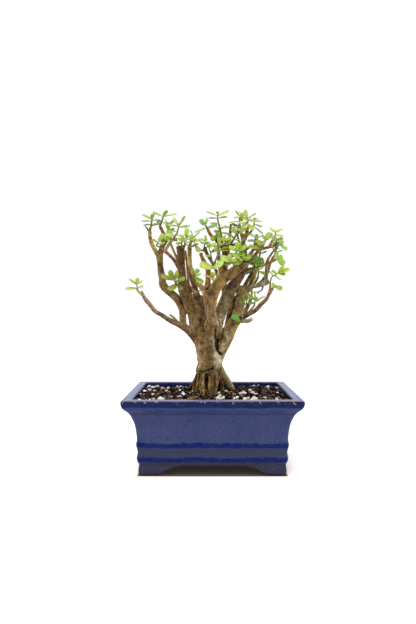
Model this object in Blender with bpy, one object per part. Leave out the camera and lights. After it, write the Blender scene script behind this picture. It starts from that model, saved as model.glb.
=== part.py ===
"""Dwarf jade bonsai in a glazed rectangular pot, for Blender 4.5.

Units in the script are millimetres, turned into Blender's metres by MM. +Z is up, the
origin is on the ground under the middle of the pot, and the front faces -Y.
"""

import math
import random

import bmesh
import bpy
import numpy as np
from mathutils import Matrix, Vector

MM = 0.001

# Pot: an 8 inch rectangular pot, measured over the rim
POT_WIDTH = 200.0
POT_DEPTH = 152.0
POT_HEIGHT = 86.0
CORNER_RADIUS = 5.0
CORNER_STEPS = 2
# How far the wall stands in from the rim's edge, at each height, from the ground up
OUTSIDE = [
    (19.6, 0.0), (17.6, 1.3), (17.0, 5.6), (17.7, 12.0), (16.2, 15.2), (15.5, 19.9),
    (16.4, 25.1), (15.9, 28.6), (14.8, 34.4), (15.5, 39.8), (14.8, 48.8), (13.1, 58.0),
    (9.9, 66.5), (7.8, 70.2), (5.5, 72.9), (2.7, 75.6), (1.0, 78.1), (0.0, 81.5),
    (0.0, 84.6), (1.2, POT_HEIGHT),
]
FLOOR_TOP = 19.0
INSIDE = [
    (27.0, FLOOR_TOP), (24.5, 21.5), (21.5, 48.0), (15.0, 73.0),
    (12.0, 80.0), (11.5, 85.0), (10.5, POT_HEIGHT + 1),
]
# Half outlines of the arches between the feet, from the ground to the middle
FRONT_ARCH = [(64.0, -1.0), (57.5, 3.0), (47.0, 8.2), (37.0, 11.0)]
SIDE_ARCH = [(45.0, -1.0), (38.5, 3.0), (28.0, 8.2), (18.0, 11.0)]
DRAIN_HOLE_X = 45.0
DRAIN_HOLE_RADIUS = 7.0
DRAIN_HOLE_SIDES = 12

# Gap between two pieces that touch
GAP = 0.3

SCREEN_SIDE = 19.0
SCREEN_THICKNESS = 0.9
SCREEN_WIRE = 2.0
SCREEN_WIRES = 4

# Soil: level at the wall, rise towards the trunk and how fast it falls off, and its grains
SOIL_LEVEL = 80.5
SOIL_RISE = 3.5
SOIL_FALL = 3.2
SOIL_GRAIN = 1.1
SOIL_CELL = 24.0
SOIL_SEED = 4
# How deep a root goes into the soil, and how much straighter it runs down there
ROOT_DEPTH = 9.0
ROOT_STRAIGHTENING = 0.5

# Sides of the wood's cross-sections, for branches at least this thick in radius
WOOD_SIDES = [(12.0, 10), (4.6, 6), (2.3, 5), (0.0, 4)]
ROOT_SIDES = 5
WOOD_SOLVER = "MANIFOLD"

# Stems: a stem within reach of a twig's end carries on from it, and others grow from a nub
STEM_SIDES = 4
STEM_STRAIGHT = 1.2
TWIG_END_REACH = 3.0
NUB_LENGTH = 3.5
NUB_EXTRA = 0.35
NUB_TAPER = 1.15

# Leaves: their thickness, how far their feet are sunk in the stem, and what they stay clear of
LEAF_SEGMENTS = 6
LEAF_THICKNESS = 2.4
LEAF_SINK = 1.0
# A leaf's widest place moved out from its middle, its width at the foot, and the gain along it
LEAF_BULGE = 0.2
LEAF_FOOT = 0.75
LEAF_WIDENING = 0.28
LEAF_CLEARANCE = 0.7
OWN_LEAF_CLEARANCE = 0.1
WOOD_CLEARANCE = 1.5
WOOD_NEARBY = 20.0
LEAF_NEARBY = 3.0
LEAF_SEED = 11
LAST_PLACE = 0.9
# A leaf's upper side looks the way its stem grows, swayed a little, and towards the light
FACE_SWAY = 0.35
FACE_FORWARD = (0.15, 0.8)
FACE_LIFT = (0.1, 0.5)

# Crosswise pairs: length, width to length, angle off the stem, and how much less at the tip
PAIR_LEAF_LENGTH = (9.5, 13.5)
PAIR_LEAF_SHAPE = (0.58, 0.72)
PAIR_SPREAD = (48, 72)
PAIR_TIP_CLOSING = 22
PAIR_TURN = 18
PAIR_FACE_LIFT = 0.6
# Where they grow: on a bare stem, and on a long stem with few leaves drawn
FULL_PLACES = (0.25, 0.62, 0.97)
EXTRA_PLACES = (0.62,)
LONG_STEM = 10.0
FULL_STEM = 5

# Wood: each branch is a route of points (x, y, z, radius)
WOOD = {
    "trunk": [
        (-4, 0, 104, 12.3), (-4, 0, 109, 16.3), (-3, 0, 117, 15.4), (-3, 0, 127, 16.3),
        (-6, -1, 137, 14.1), (-9, -1, 148, 13.8), (-12, -1, 157, 11.7),
    ],
    "limb_left": [
        (-12, -1, 151, 11.7), (-17, 0, 166, 10.8), (-20, 2, 180, 10.2), (-27, 3, 192, 9.3),
        (-32, 3, 202, 7.7), (-36, 2, 212, 6.4), (-37, 1, 224, 5.4), (-38, 0, 239, 5), (-38, 0, 251, 5),
        (-39, 0, 263, 5.4),
    ],
    "stub_behind": [
        (-13, 5, 166, 9.5), (-16, 7, 178, 9.8), (-17.5, 9, 190, 8.9), (-19, 10, 202, 8),
    ],
    "limb_far_left": [
        (-35, -6, 164, 4.3), (-36, -1, 175, 4.3), (-37, 4, 186, 4.5), (-43, 7, 198, 5),
        (-53, 9, 207, 4.9), (-61, 8, 216, 5.2), (-62, 8, 226, 4.2), (-64, 7, 237, 3.7),
        (-65, 6, 248, 4.2), (-66, 6, 256, 4.5),
    ],
    "far_left_outer": [
        (-67, 6, 252, 3.1), (-71, 5, 259, 2.6), (-75, 5, 267, 2.6), (-77, 4, 276, 2.6),
        (-77, 4, 282, 2.4),
    ],
    "far_left_dead_tip": [
        (-76, 5, 275, 1.6), (-79, 8, 283, 1.1), (-83, 9, 289, 0.7),
    ],
    "far_left_stub": [
        (-64, 6, 254, 3.7), (-62, 6, 263, 3.1), (-60, 6, 272, 3), (-59, 6, 277, 3.1),
    ],
    "far_left_inner": [
        (-60, 6, 274, 2.2), (-61, 5, 281, 2.1), (-64, 5, 287, 2.2),
    ],
    "cross_twig": [
        (-41, 0, 237, 2.8), (-46, -7, 245, 2.2), (-52, -13, 251, 2.2), (-57, -18, 255, 2),
        (-62, -20, 259, 1.1), (-65, -21, 260, 1),
    ],
    "cross_twig_riser": [
        (-56, -17, 255, 1.9), (-52, -19, 262, 2), (-47, -21, 268, 1.8),
    ],
    "left_side_twig": [
        (-41, 1, 244, 1.8), (-46, 2, 254, 1.5), (-49, 3, 261, 1.5), (-51, 3, 266, 1.4),
    ],
    "orange_twig": [
        (-16, 2, 203, 2.8), (-24, 4, 209, 2.2), (-29, 6, 217, 1.9), (-30, 7, 228, 1.6),
        (-31, 7, 239, 1.5), (-32, 7, 250, 1.4), (-33, 7, 259, 1.2),
    ],
    "tan_stub": [
        (-7, -10, 206, 3.9), (-14, -12, 213, 3), (-19, -14, 220, 2.8), (-23, -16, 228, 2.3),
        (-26, -18, 237, 2.4), (-27, -19, 249, 2.7), (-27, -19, 260, 3),
    ],
    "limb_middle": [
        (-6, -3, 150, 12.2), (-1, -7, 164, 9.7), (-1, -9, 176, 7), (-2, -10, 187, 7),
        (-2, -11, 196, 8.2), (-4, -12, 209, 9),
    ],
    "limb_diagonal": [
        (-1, -12, 200, 7.8), (5, -14, 212, 7.2), (14, -16, 222, 6.6), (24, -17, 229, 6),
        (33, -18, 236, 5.4), (43, -18, 243, 4.5),
    ],
    "diagonal_end": [
        (40, -19, 240, 3), (47, -23, 245, 2.6), (52, -27, 251, 2.1), (55, -30, 255, 2),
        (58, -32, 258, 1.6),
    ],
    "orange_side_twig": [
        (56, -30, 255, 1.8), (64, -33, 257, 1.7), (70, -35, 258, 1.5), (74, -36, 260, 1.1),
        (77, -36, 263, 0.7),
    ],
    "side_twig_riser": [
        (66, -33.5, 258, 1.5), (69, -35, 264, 1.3), (72, -36, 269, 1.3),
    ],
    "red_stub": [
        (-6, -9, 206, 4.2), (-5, -7, 221, 3.4), (-5, -6, 233, 3.2), (-9, -6, 242, 2.8),
        (-12, -6, 248, 2.4), (-14, -6, 254, 2.3),
    ],
    "front_spur": [
        (8, -17, 221, 2.4), (5, -26, 229, 1.9), (1, -32, 237, 1.7),
    ],
    "front_stub": [
        (2, -31.5, 236, 1.7), (-3, -34, 244, 2), (-7, -36, 251, 2.2), (-9, -37, 257, 2.5),
    ],
    "front_stub_side": [
        (-8, -36, 252, 1.2), (-14, -38, 254, 0.9), (-18, -39, 257, 0.8),
    ],
    "upright_stub": [
        (13, -12, 222, 5.7), (14, -8, 235, 5.2), (16, -5, 248, 4.3), (16, -4, 257, 3.9),
        (16, -4, 264, 3.9),
    ],
    "upright_stub_riser": [
        (13, -4, 259, 1.7), (12, -4, 269, 1.5), (11, -4, 276, 1.3),
    ],
    "upright_stub_left": [
        (13, -5, 259, 2.2), (6, -12, 268, 2.2), (-1, -18, 273, 2), (-5, -22, 279, 2),
    ],
    "top_right_twig": [
        (32, -15, 235, 3), (34, -21, 251, 2.8), (36, -26, 263, 2.7), (39, -30, 270, 2.6),
        (41, -32, 277, 2.3),
    ],
    "top_rear_twig": [
        (35, 4, 225, 2.5), (34, 4, 244, 2.2), (37, 4, 266, 2), (40, 4, 279, 1.9),
    ],
    "top_right_side": [
        (38, -27, 268, 1.5), (45, -22, 276, 1.4), (49, -19, 282, 1.4),
    ],
    "top_middle_side": [
        (34, -24, 259, 1.5), (31, -14, 271, 1.3), (31, -9, 281, 1.3),
    ],
    "black_tip_twig": [
        (17, -4, 246, 2.1), (20, 2, 264, 1.8), (22, 3, 276, 1.9), (23, 3, 286, 1.8), (23, 3, 291, 1.1),
    ],
    "red_rear_twig": [
        (40, 7, 234, 2.7), (48, 9, 252, 2.2), (53, 9, 264, 2.1), (55, 9, 272, 2.3), (56, 9, 279, 2.3),
    ],
    "fine_cross_twig": [
        (34, -21, 251, 1.5), (42, -14, 258, 1.6), (48, -8, 262, 1.3), (54, -4, 264, 1.2),
    ],
    "fine_front_twig": [
        (39, -19, 242, 1.8), (44, -27, 251, 1.1), (48, -33, 254, 0.9), (52, -36, 254, 0.9),
    ],
    "limb_behind": [
        (3, 0, 150, 8.6), (8, 2, 170, 6.5), (11, 3, 182, 7.4), (16, 4, 194, 7.7), (21, 5, 205, 7.6),
        (27, 6, 216, 6.8), (34, 6, 226, 5.9), (39, 6, 234, 4.7), (42, 7, 241, 3.7),
    ],
    "limb_right": [
        (1, 0, 122, 12.3), (9, 3, 135, 9.3), (15, 5, 146, 9.3), (20, 7, 156, 9), (25, 9, 165, 8.1),
        (30, 10, 174, 7.5), (33, 11, 185, 7.1), (35, 11, 196, 6.8), (37, 11, 206, 6.9),
        (39, 10, 213, 5.9),
    ],
    "limb_thin": [
        (18, 12, 156, 3.8), (20, 12, 171, 3.3), (22, 12, 182, 2.9), (25, 11, 192, 2.7),
        (28, 9, 202, 2.7),
    ],
    "knob_branch": [
        (35, 10, 210, 5.6), (44, 8, 212, 3.1), (52, 6, 214, 2.6), (60, 4, 216, 3), (67, 3, 219, 3.7),
        (70, 3, 221, 3.5),
    ],
    "knob_riser": [
        (67, 3, 218, 2.5), (67, 2, 228, 2.1), (67, 1, 237, 2), (68, 0, 245, 1.8), (72, -1, 252, 1.4),
        (77, -2, 259, 1.2), (80, -2, 262, 1.1),
    ],
    "red_side_branch": [
        (39, 1, 233, 2.5), (47, -7, 235, 1.5), (54, -12, 236, 1.3), (61, -17, 238, 1.4),
        (68, -20, 241, 1.8), (75, -22, 244, 1.9),
    ],
    "right_rear_twig": [
        (39, 14, 210, 3.1), (44, 16, 220, 2.5), (48, 17, 227, 2.3), (51, 18, 233, 2),
    ],
    "knob_fine_twig": [
        (47, 7, 213, 2.1), (53, 8, 218, 1.4), (57, 9, 224, 1.2), (58, 10, 230, 1),
    ],
    "dead_twig": [
        (63, 3, 215, 1.2), (62, 3, 210, 0.8), (58, 2, 207, 0.7), (56, 1, 204, 0.6),
    ],
    "low_right_branch": [
        (30, 9, 171, 4.4), (38, 6, 175, 3.1), (45, 2, 179, 2.8), (53, -3, 184, 2.7),
        (59, -8, 191, 2.6), (64, -12, 196, 2.4), (67, -15, 201, 2.1), (69, -18, 208, 1.9),
        (69, -20, 213, 1.4),
    ],
    "low_right_fork": [
        (69, -17, 204, 1.7), (72, -20, 210, 1.5),
    ],
    "low_right_riser": [
        (43, 3, 178, 1.9), (48, 0, 185, 1.4), (51, -2, 189, 1.2),
    ],
    "pink_stub": [
        (32, 6, 171, 3.1), (38, 1, 171, 2.5), (44, -4, 171, 2.4), (49, -7, 174, 2.2),
    ],
    "low_left_branch": [
        (-15, 1, 145, 7.4), (-23, 0, 154, 6.2), (-29, -3, 160, 5.2), (-37, -8, 165, 4.3),
        (-44, -13, 169, 3.6), (-52, -18, 173, 2.9), (-59, -23, 178, 2.7), (-67, -28, 183, 2.5),
        (-72, -33, 190, 2.6), (-76, -36, 195, 2.7), (-79, -39, 200, 2.1), (-81, -41, 206, 1.4),
    ],
    "low_left_side": [
        (-39, -9.5, 166, 1.8), (-45, -12, 174, 1.4), (-51, -14, 179, 1.1),
    ],
    "low_left_end": [
        (-78, -38, 199, 1.5), (-82, -42, 203, 1.3), (-85, -43, 206, 1.1),
    ],
    "back_far_left": [
        (-61, 9, 218, 3.7), (-66, 20, 232, 2.9), (-67, 30, 250, 2.5), (-64, 38, 266, 2.2),
        (-58, 42, 278, 2),
    ],
    "back_low_left": [
        (-36, 4, 212, 4.6), (-38, 18, 220, 3), (-38, 32, 230, 2.4), (-37, 42, 238, 2.1),
        (-37, 45, 246, 2),
    ],
    "back_left": [
        (-19, 10, 197, 5.6), (-21, 17, 211, 3.5), (-27, 23, 229, 2.9), (-29, 27, 246, 2.4),
        (-28, 29, 259, 2.1),
    ],
    "back_low_middle": [
        (-4, 4, 135, 7.4), (-8, 24, 150, 4.5), (-14, 38, 170, 3.3), (-19, 47, 189, 2.7),
        (-21, 50, 201, 2.1),
    ],
    "back_middle": [
        (19, 5, 199, 6.2), (15, 22, 218, 3.8), (11, 34, 239, 3), (9, 42, 258, 2.5), (8, 45, 271, 2.1),
    ],
    "back_top": [
        (39, 6, 234, 4.4), (42, 13, 251, 2.9), (40, 19, 270, 2.4), (37, 23, 284, 2),
    ],
    "back_right": [
        (35, 11, 196, 6.3), (45, 22, 209, 3.3), (53, 30, 225, 2.6), (59, 35, 241, 2.3),
        (62, 38, 253, 2.1),
    ],
    "back_low_right": [
        (25, 9, 166, 6.2), (35, 28, 173, 3.9), (44, 42, 183, 3), (50, 50, 194, 2.5),
        (53, 53, 202, 2.1),
    ],
    "back_far_right": [
        (56, 6, 215, 2.6), (63, 11, 221, 2.3), (70, 18, 231, 2.1), (74, 25, 243, 2), (80, 28, 254, 1.9),
    ],
}

# Roots, the same way, down to the soil
ROOTS = {
    "far_left": [
        (-15, 6, 105, 4.4), (-22, 12, 95, 2.5), (-27, 17, 88, 1.6), (-32, 22, 81, 1.3),
    ],
    "left": [
        (-15, 3, 107, 4.9), (-20, 6, 99, 2.6), (-22, 9, 90, 2.1), (-23, 11, 80, 1.9),
    ],
    "left_front": [
        (-12, -4, 107, 4.9), (-16, -6, 100, 2.3), (-18, -6, 91, 2.3), (-19, -4, 81, 2),
    ],
    "front": [
        (-6, -8, 109, 5.5), (-11, -14, 104, 3), (-13, -19, 96, 2.9), (-12, -24, 88, 2.7),
        (-8, -28, 80, 2.2),
    ],
    "front_side": [
        (-10, -20, 96, 1.8), (-7, -25, 87, 1.5), (-1, -30, 80, 1.4),
    ],
    "broad": [
        (1, -8, 110, 6.7), (1, -13, 101, 5.1), (0, -19, 91, 4.5), (1, -24, 81, 2.7),
    ],
    "broad_side": [
        (7, -8, 112, 4.3), (7, -12, 102, 2.4), (4, -18, 91, 2.1), (3, -22, 82, 1.8),
    ],
    "thin": [
        (9, -4, 110, 3.7), (10, -8, 101, 1.6), (13, -9, 90, 1.5), (14, -7, 80, 1.3),
    ],
    "right": [
        (6, 2, 113, 8), (14, 4, 103, 5), (21, 8, 92, 4.4), (26, 12, 84, 3.8), (30, 15, 80, 3.2),
    ],
    "middle": [
        (-4, 2, 108, 9), (-4, 2, 98, 7.5), (-3, 3, 88, 7.5), (-3, 3, 80, 8),
    ],
    "back": [
        (4, 9, 110, 7), (8, 14, 98, 5.2), (10, 20, 88, 4), (11, 26, 80, 3),
    ],
    "back_left": [
        (-11, 9, 109, 5), (-14, 17, 98, 3), (-16, 25, 89, 2.4), (-19, 32, 80, 2),
    ],
}

# Leafy stems: the stem's route (x, y, z, radius), then its leaves, each as the place along
# the stem where it grows, its tip (x, y, z) and its width. A stem with no leaves listed gets
# crosswise pairs all along.
SHOOTS = [
    (
        [(-77, 4, 283, 1.7), (-75, 3, 291, 1.2), (-74, 2, 298, 0.9)],
        [
            (1, -87, 3, 303, 7.5), (0.75, -87, -2, 294, 6.5), (0.5, -86, 6, 290, 6),
            (0.8, -64, 0, 296, 7.5), (1, -72, -6, 302, 6), (0.35, -67, 6, 290, 6.5),
        ],
    ),
    (
        [(-64, 5, 288, 1.6), (-62, 4, 295, 1.2), (-60, 3, 301, 1)],
        [
            (1, -74, 2, 306, 8), (1, -55, -2, 307, 6.5), (0.95, -43, 1, 304, 8),
            (0.3, -74, 7, 288, 6.5), (0.35, -52, 1, 292, 6.5), (0.6, -70, 0, 296, 6),
        ],
    ),
    (
        [(-46, -21, 269, 1.5), (-42, -22, 275, 1.2), (-40, -23, 281, 1), (-39, -23, 285, 0.8)],
        [
            (1, -46, -28, 293, 9), (1, -31, -28, 295, 9.5), (0.9, -52, -26, 285, 7),
            (0.85, -26, -25, 283, 8.5), (0.55, -51, -20, 278, 7), (0.25, -54, -27, 273, 6.5),
            (0.3, -33, -28, 271, 7),
        ],
    ),
    (
        [(-34, -2, 264, 1), (-32, -3, 270, 0.9), (-32, -5, 275, 0.7)],
        [
            (1, -30, -7, 284, 9.5), (0.8, -23, -2, 276, 6.5), (0.5, -38, 3, 273, 6),
        ],
    ),
    (
        [(-37, -6, 263, 1), (-37, -8.5, 266, 0.9), (-36, -10.5, 268, 0.7)],
        [
            (1, -41, -12, 271, 7), (0.5, -44, -9, 265, 6), (1, -30, -13, 269, 6),
        ],
    ),
    (
        [(-26, -19, 261, 1.2), (-26, -20, 266, 1), (-25, -20, 269, 0.7)],
        [
            (1, -29, -25, 273, 7), (0.8, -19, -22, 269, 5.5), (0.4, -31, -26, 265, 5.5),
        ],
    ),
    (
        [(-51, 3, 266, 1.1), (-51, 2, 272, 0.9), (-50, 1, 276, 0.7)],
        [
            (1, -55, 5, 284, 7.5), (0.6, -60, 0, 274, 7.5), (0.5, -43, 7, 272, 6.5),
        ],
    ),
    (
        [(-66, -21, 260, 0.9), (-65, -22, 263, 0.8), (-63, -23, 266, 0.7)],
        [
            (1, -57, -27, 274, 5.5), (0.7, -71, -24, 268, 6.5), (0.4, -56, -26, 263, 5.5),
        ],
    ),
    (
        [(-19, -39, 257, 0.7), (-20, -40, 261, 0.7), (-21, -41, 264, 0.6)],
        [
            (0.9, -10, -43, 265, 6), (1, -27, -45, 266, 5.5), (0.15, -14, -46, 250, 5.5),
        ],
    ),
    (
        [(-9, -37, 258, 0.9), (-8, -38, 261, 0.7), (-8, -39, 263, 0.6)],
        [
            (1, -8, -42, 270, 6), (0.5, -2, -37, 262, 6), (0.5, -15, -35, 260, 5.5),
        ],
    ),
    (
        [(0, -35.5, 239, 0.9), (-1, -38, 245, 0.8), (-3, -40, 253, 0.7), (-4, -41, 258, 0.6)],
        [
            (1, 2, -41.5, 265, 7), (0.85, -10, -40.5, 256, 6), (0.6, 5, -43.5, 252, 7),
            (0.45, -10, -40.5, 247, 5.5),
        ],
    ),
    (
        [(3, -30, 240, 1.1), (6, -28, 248, 0.9), (8, -25, 255, 0.8), (9, -22, 262, 0.7)],
        [
            (0.65, 21, -25, 255, 7), (1, 6, -20, 271, 7), (0.95, 17, -25, 265, 6.5),
            (0.4, 15, -22, 247, 5.5),
        ],
    ),
    (
        [(4, -31, 231, 0.9), (1, -36, 233, 0.8)],
        [
            (0.9, -15, -40, 237, 9.5), (0.9, 12, -39, 243, 9.5),
        ],
    ),
    (
        [(-5, -22, 280, 1.3), (-7, -24, 283, 1.1), (-9, -25, 285, 0.8)],
        [
            (1, -15, -26, 291, 7), (1, -5, -26, 293, 6.5), (0.3, 6, -28, 284, 10),
            (0.4, -21, -27, 275, 8), (0.1, -13, -20, 272, 7),
        ],
    ),
    (
        [(11, -4, 277, 1.3), (9, -4, 286, 1.2), (7, -4, 294, 1), (7, -4, 302, 0.9)],
        [
            (1, -8, -5, 305, 7.5), (1, 21, -5, 306, 8), (0.8, -4, -8, 296, 6.5),
            (0.8, 19, -1, 299, 6.5), (0.55, -3, -2, 291, 6.5), (0.35, 22, -7, 285, 8),
            (0.12, 21, -8, 276, 7.5),
        ],
    ),
    (
        [(5, -16, 268, 1), (5, -20, 271, 0.8)],
        [
            (0.9, -3, -23, 268, 7), (1, 9, -22, 276, 6.5),
        ],
    ),
    (
        [(18, -6, 264, 1.1), (18, -11, 267, 0.9), (18, -15, 268, 0.7)],
        [
            (1, 24, -17, 270, 8.5), (1, 11, -18, 270, 6.5), (0.3, 24, -5, 263, 6),
        ],
    ),
    (
        [(20, -8, 256, 1.5), (23, -14, 264, 1.3), (28, -19, 273, 1.1), (31, -22, 277, 0.8)],
        [
            (1, 45, -24, 285, 11.5), (1, 23, -21, 281, 7), (0.6, 38, -27, 268, 7),
            (0.6, 19, -26, 273, 7), (0.25, 16, -27, 258, 6.5), (0.3, 30, -18, 263, 6.5),
        ],
    ),
    (
        [(41, -32, 278, 1.4), (41, -33, 282, 1.2), (41, -34, 288, 1), (40, -34, 292, 0.8)],
        [
            (1, 37, -38, 300, 7.5), (1, 51, -38, 296, 7), (0.7, 59, -33, 288, 8.5),
            (0.7, 30, -38, 285, 7), (0.35, 49, -38, 278, 7), (0.5, 36, -40, 279, 7),
        ],
    ),
    (
        [(31, -9, 282, 1.2), (33, -9, 289, 1.1), (34, -9, 296, 1), (35, -9, 300, 0.8)],
        [
            (1, 26, -14, 295, 8.5), (0.75, 49, -5, 296, 8), (0.55, 19, -9, 291, 8),
            (0.5, 42, -3, 289, 7.5), (0.2, 23, -11, 283, 6.5), (1, 41, -9, 304, 7),
        ],
    ),
    (
        [(49, -19, 284, 1), (50, -18, 288, 0.8), (51, -18, 291, 0.7)],
        [
            (0.5, 59, -21, 283, 8), (0.1, 61, -18, 275, 8), (1, 53, -18, 294, 7),
        ],
    ),
    (
        [(55, -2, 264, 1), (56, -1, 269, 0.9), (55, 0, 273, 0.7)],
        [
            (0.6, 43, 3, 270, 9), (1, 44, -2, 280, 9), (1, 63, 3, 278, 7.5), (0.5, 63, -4, 268, 6.5),
        ],
    ),
    (
        [(30, -23, 241, 1.3), (28, -27, 247, 1.1), (28, -31, 251, 0.9), (29, -34, 254, 0.8)],
        [
            (1, 41, -36, 259, 8.5), (1, 19, -36, 258, 7.5), (0.8, 27, -42, 244, 8),
            (1, 30, -38, 263, 7), (0.5, 19, -31, 249, 7), (0.55, 39, -32, 250, 7),
        ],
    ),
    (
        [(26, -23, 237, 1.1), (23, -30, 240, 0.9), (22, -35, 242, 0.7)],
        [
            (1, 9, -38, 245, 7.5), (0.6, 15, -32, 237, 6.5), (1, 28, -41, 242, 6),
            (1, 21, -40, 249, 6),
        ],
    ),
    (
        [(35, -23, 241, 1.1), (35, -28, 244, 0.9), (36, -32, 246, 0.7)],
        [
            (1, 35, -36, 255, 7), (0.9, 46, -33, 247, 7.5), (0.3, 27, -30, 238, 5.5),
            (0.9, 29, -24, 245, 5.5),
        ],
    ),
    (
        [(52, -36, 254, 0.9), (55, -38, 256, 0.7), (56, -39, 259, 0.6)],
        [
            (0.4, 41, -33, 256, 7.5), (1, 64, -33, 261, 7), (1, 52, -34, 266, 7),
        ],
    ),
    (
        [(51, -12, 237, 1.1), (51, -15, 239, 0.9), (52, -17, 241, 0.7)],
        [
            (1, 62, -20, 243, 11.5), (1, 42, -20, 243, 8), (1, 51, -21, 250, 6.5),
        ],
    ),
    (
        [(59, -32, 259, 1.3), (61, -34, 263, 1), (62, -35, 266, 0.8)],
        [
            (0.6, 71, -39, 259, 11), (1, 68, -36, 274, 8.5), (1, 57, -37, 271, 7),
            (0.5, 53, -38, 263, 6),
        ],
    ),
    (
        [(73, -36, 270, 1.1), (73, -37, 272, 0.9), (73, -37, 274, 0.7)],
        [
            (1, 66, -38, 279, 7.5), (1, 81, -35, 279, 7.5), (0.4, 82, -39, 268, 7),
            (0.3, 65, -34, 270, 6.5),
        ],
    ),
    (
        [(74, -36, 262, 0.9), (74, -37, 264, 0.8), (74, -38, 265, 0.6)],
        [
            (1, 68, -43, 268, 7.5), (0.9, 81, -41, 265, 6),
        ],
    ),
    (
        [(76, -22, 244, 1.3), (77, -23, 244, 1), (78, -23, 243, 0.7)],
        [
            (1, 86, -23, 239, 7), (0.6, 75, -27, 252, 8), (1, 84, -20, 249, 7),
            (0.3, 72, -27, 236, 5.5),
        ],
    ),
    (
        [(81, -2, 263, 1), (82, -2, 264, 0.8), (84, -2, 264, 0.6)],
        [
            (1, 92, -3, 258, 8), (0.8, 84, -4, 271, 6.5),
        ],
    ),
    (
        [
            (69, -20, 214, 1.1), (69, -22, 219, 0.9), (71, -23, 224, 0.8), (75, -24, 226, 0.8),
            (79, -25, 229, 0.7),
        ],
        [
            (1, 91, -27, 233, 6.5), (1, 83, -31, 237, 5.5), (0.85, 70, -25, 231, 5.5),
            (1, 87, -22, 227, 5.5),
        ],
    ),
    (
        [(72, -20, 210, 1.2), (74, -22, 212, 1), (75, -23, 212, 0.7)],
        [
            (1, 83, -24, 209, 6), (1, 70, -27, 215, 5),
        ],
    ),
    (
        [(58, 10, 231, 0.9), (58, 9, 233, 0.8), (58, 8, 235, 0.6)],
        [
            (1, 65, 4, 239, 8), (0.5, 68, 11, 226, 7.5), (1, 51, 6, 240, 7.5),
        ],
    ),
    (
        [(51, 18, 234, 1.5), (52, 18, 238, 1.1), (52, 17, 242, 0.8)],
        [
            (0.3, 40, 13, 230, 9), (0.2, 59, 13, 227, 9), (1, 53, 15, 251, 7.5), (1, 44, 20, 248, 7.5),
            (0.8, 61, 20, 241, 7.5),
        ],
    ),
    (
        [(51, -2, 189, 1.1), (52, -4, 193, 1), (53, -6, 197, 0.8)],
        [
            (0.95, 42, -6, 205, 7.5), (1, 51, -12, 207, 7), (1, 65, -7, 201, 7.5), (0.7, 59, -11, 193, 6.5),
            (0.5, 44, -8, 193, 6),
        ],
    ),
    (
        [(43, 1, 181, 0.9), (42, -2, 188, 0.8), (42, -4, 194, 0.7), (43, -6, 198, 0.6)],
        [
            (1, 37, -9, 202, 7), (1, 46, -12, 203, 6.5), (0.6, 36, -10, 191, 5.5),
        ],
    ),
    (
        [(35, -3, 171, 0.9), (33, -6, 172, 0.7)],
        [
            (1, 24, -7, 178, 6.5),
        ],
    ),
    (
        [(-85, -43, 206, 1), (-85, -44, 209, 0.9), (-86, -45, 212, 0.8), (-86, -45, 214, 0.6)],
        [
            (0.35, -99, -47, 209, 6), (1, -95, -46, 220, 5.5), (1, -85, -48, 221, 5),
            (0.9, -79, -46, 218, 5.5), (0.5, -78, -47, 211, 4.5),
        ],
    ),
    (
        [(-41, -5, 214, 1.3), (-44, -14, 217, 1.1), (-45, -19, 221, 0.8)],
        [
            (1, -61, -22, 225, 6.5), (1, -51, -29, 230, 8), (1, -40, -27, 230, 7.5),
            (0.7, -32, -20, 223, 6.5), (0.45, -50, -26, 207, 9.5), (0.2, -36, -20, 209, 5.5),
        ],
    ),
    (
        [(-21, -18, 222, 1), (-20, -20.5, 225, 0.8), (-20, -22, 228, 0.7)],
        [
            (0.6, -14, -27, 226, 6.5), (1, -25, -25, 234, 6.5), (1, -16, -22, 233, 5.5),
            (0.3, -11, -28, 216, 7),
        ],
    ),
    (
        [(3, -21, 216, 1), (1, -24, 220, 0.8), (0, -25, 223, 0.6)],
        [
            (1, -9, -31, 225, 9), (0.7, 3, -33, 221, 6.5), (1, 2, -27, 230, 6.5),
        ],
    ),
    (
        [(-58, 42.5, 280, 1.3), (-58, 44, 288, 1.1), (-57, 45, 297, 0.9)],
        [],
    ),
    (
        [(-37, 45.5, 248, 1.3), (-37, 47, 256, 1.1), (-38, 48, 264, 0.9)],
        [],
    ),
    (
        [(-28, 29.5, 261, 1.3), (-27, 31, 270, 1.1), (-24, 31, 279, 0.8)],
        [],
    ),
    (
        [(-21, 50.5, 203, 1.3), (-22, 53, 211, 1.1), (-20, 54, 220, 0.9)],
        [],
    ),
    (
        [(8, 45.5, 273, 1.3), (8, 47, 282, 1.1), (10, 48, 291, 0.9)],
        [],
    ),
    (
        [(37, 23.5, 286, 1.3), (36, 25, 294, 1.1), (37, 26, 303, 0.8)],
        [],
    ),
    (
        [(62, 38.5, 254, 1.3), (64, 40, 263, 1.1), (64, 41, 271, 0.9)],
        [],
    ),
    (
        [(53, 53.5, 204, 1.3), (54, 55, 212, 1.1), (54, 56, 220, 0.9)],
        [],
    ),
    (
        [(80, 28.5, 256, 1.3), (83, 30, 262, 1.1), (85, 31, 269, 0.8)],
        [],
    ),
]


def unit(vector):
    return vector / np.linalg.norm(vector)


def clear_scene():
    for old in list(bpy.data.objects):
        bpy.data.objects.remove(old)


def make_collection(name, hidden=False):
    collection = bpy.data.collections.new(name)
    collection.hide_render = hidden
    bpy.context.scene.collection.children.link(collection)
    return collection


def make_material(name, colour, roughness, coat=0.0):
    material = bpy.data.materials.new(name)
    material.use_nodes = True
    shader = material.node_tree.nodes["Principled BSDF"]
    shader.inputs["Base Color"].default_value = (*colour, 1)
    shader.inputs["Roughness"].default_value = roughness
    shader.inputs["Metallic"].default_value = 0.0
    shader.inputs["Coat Weight"].default_value = coat
    return material


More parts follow.
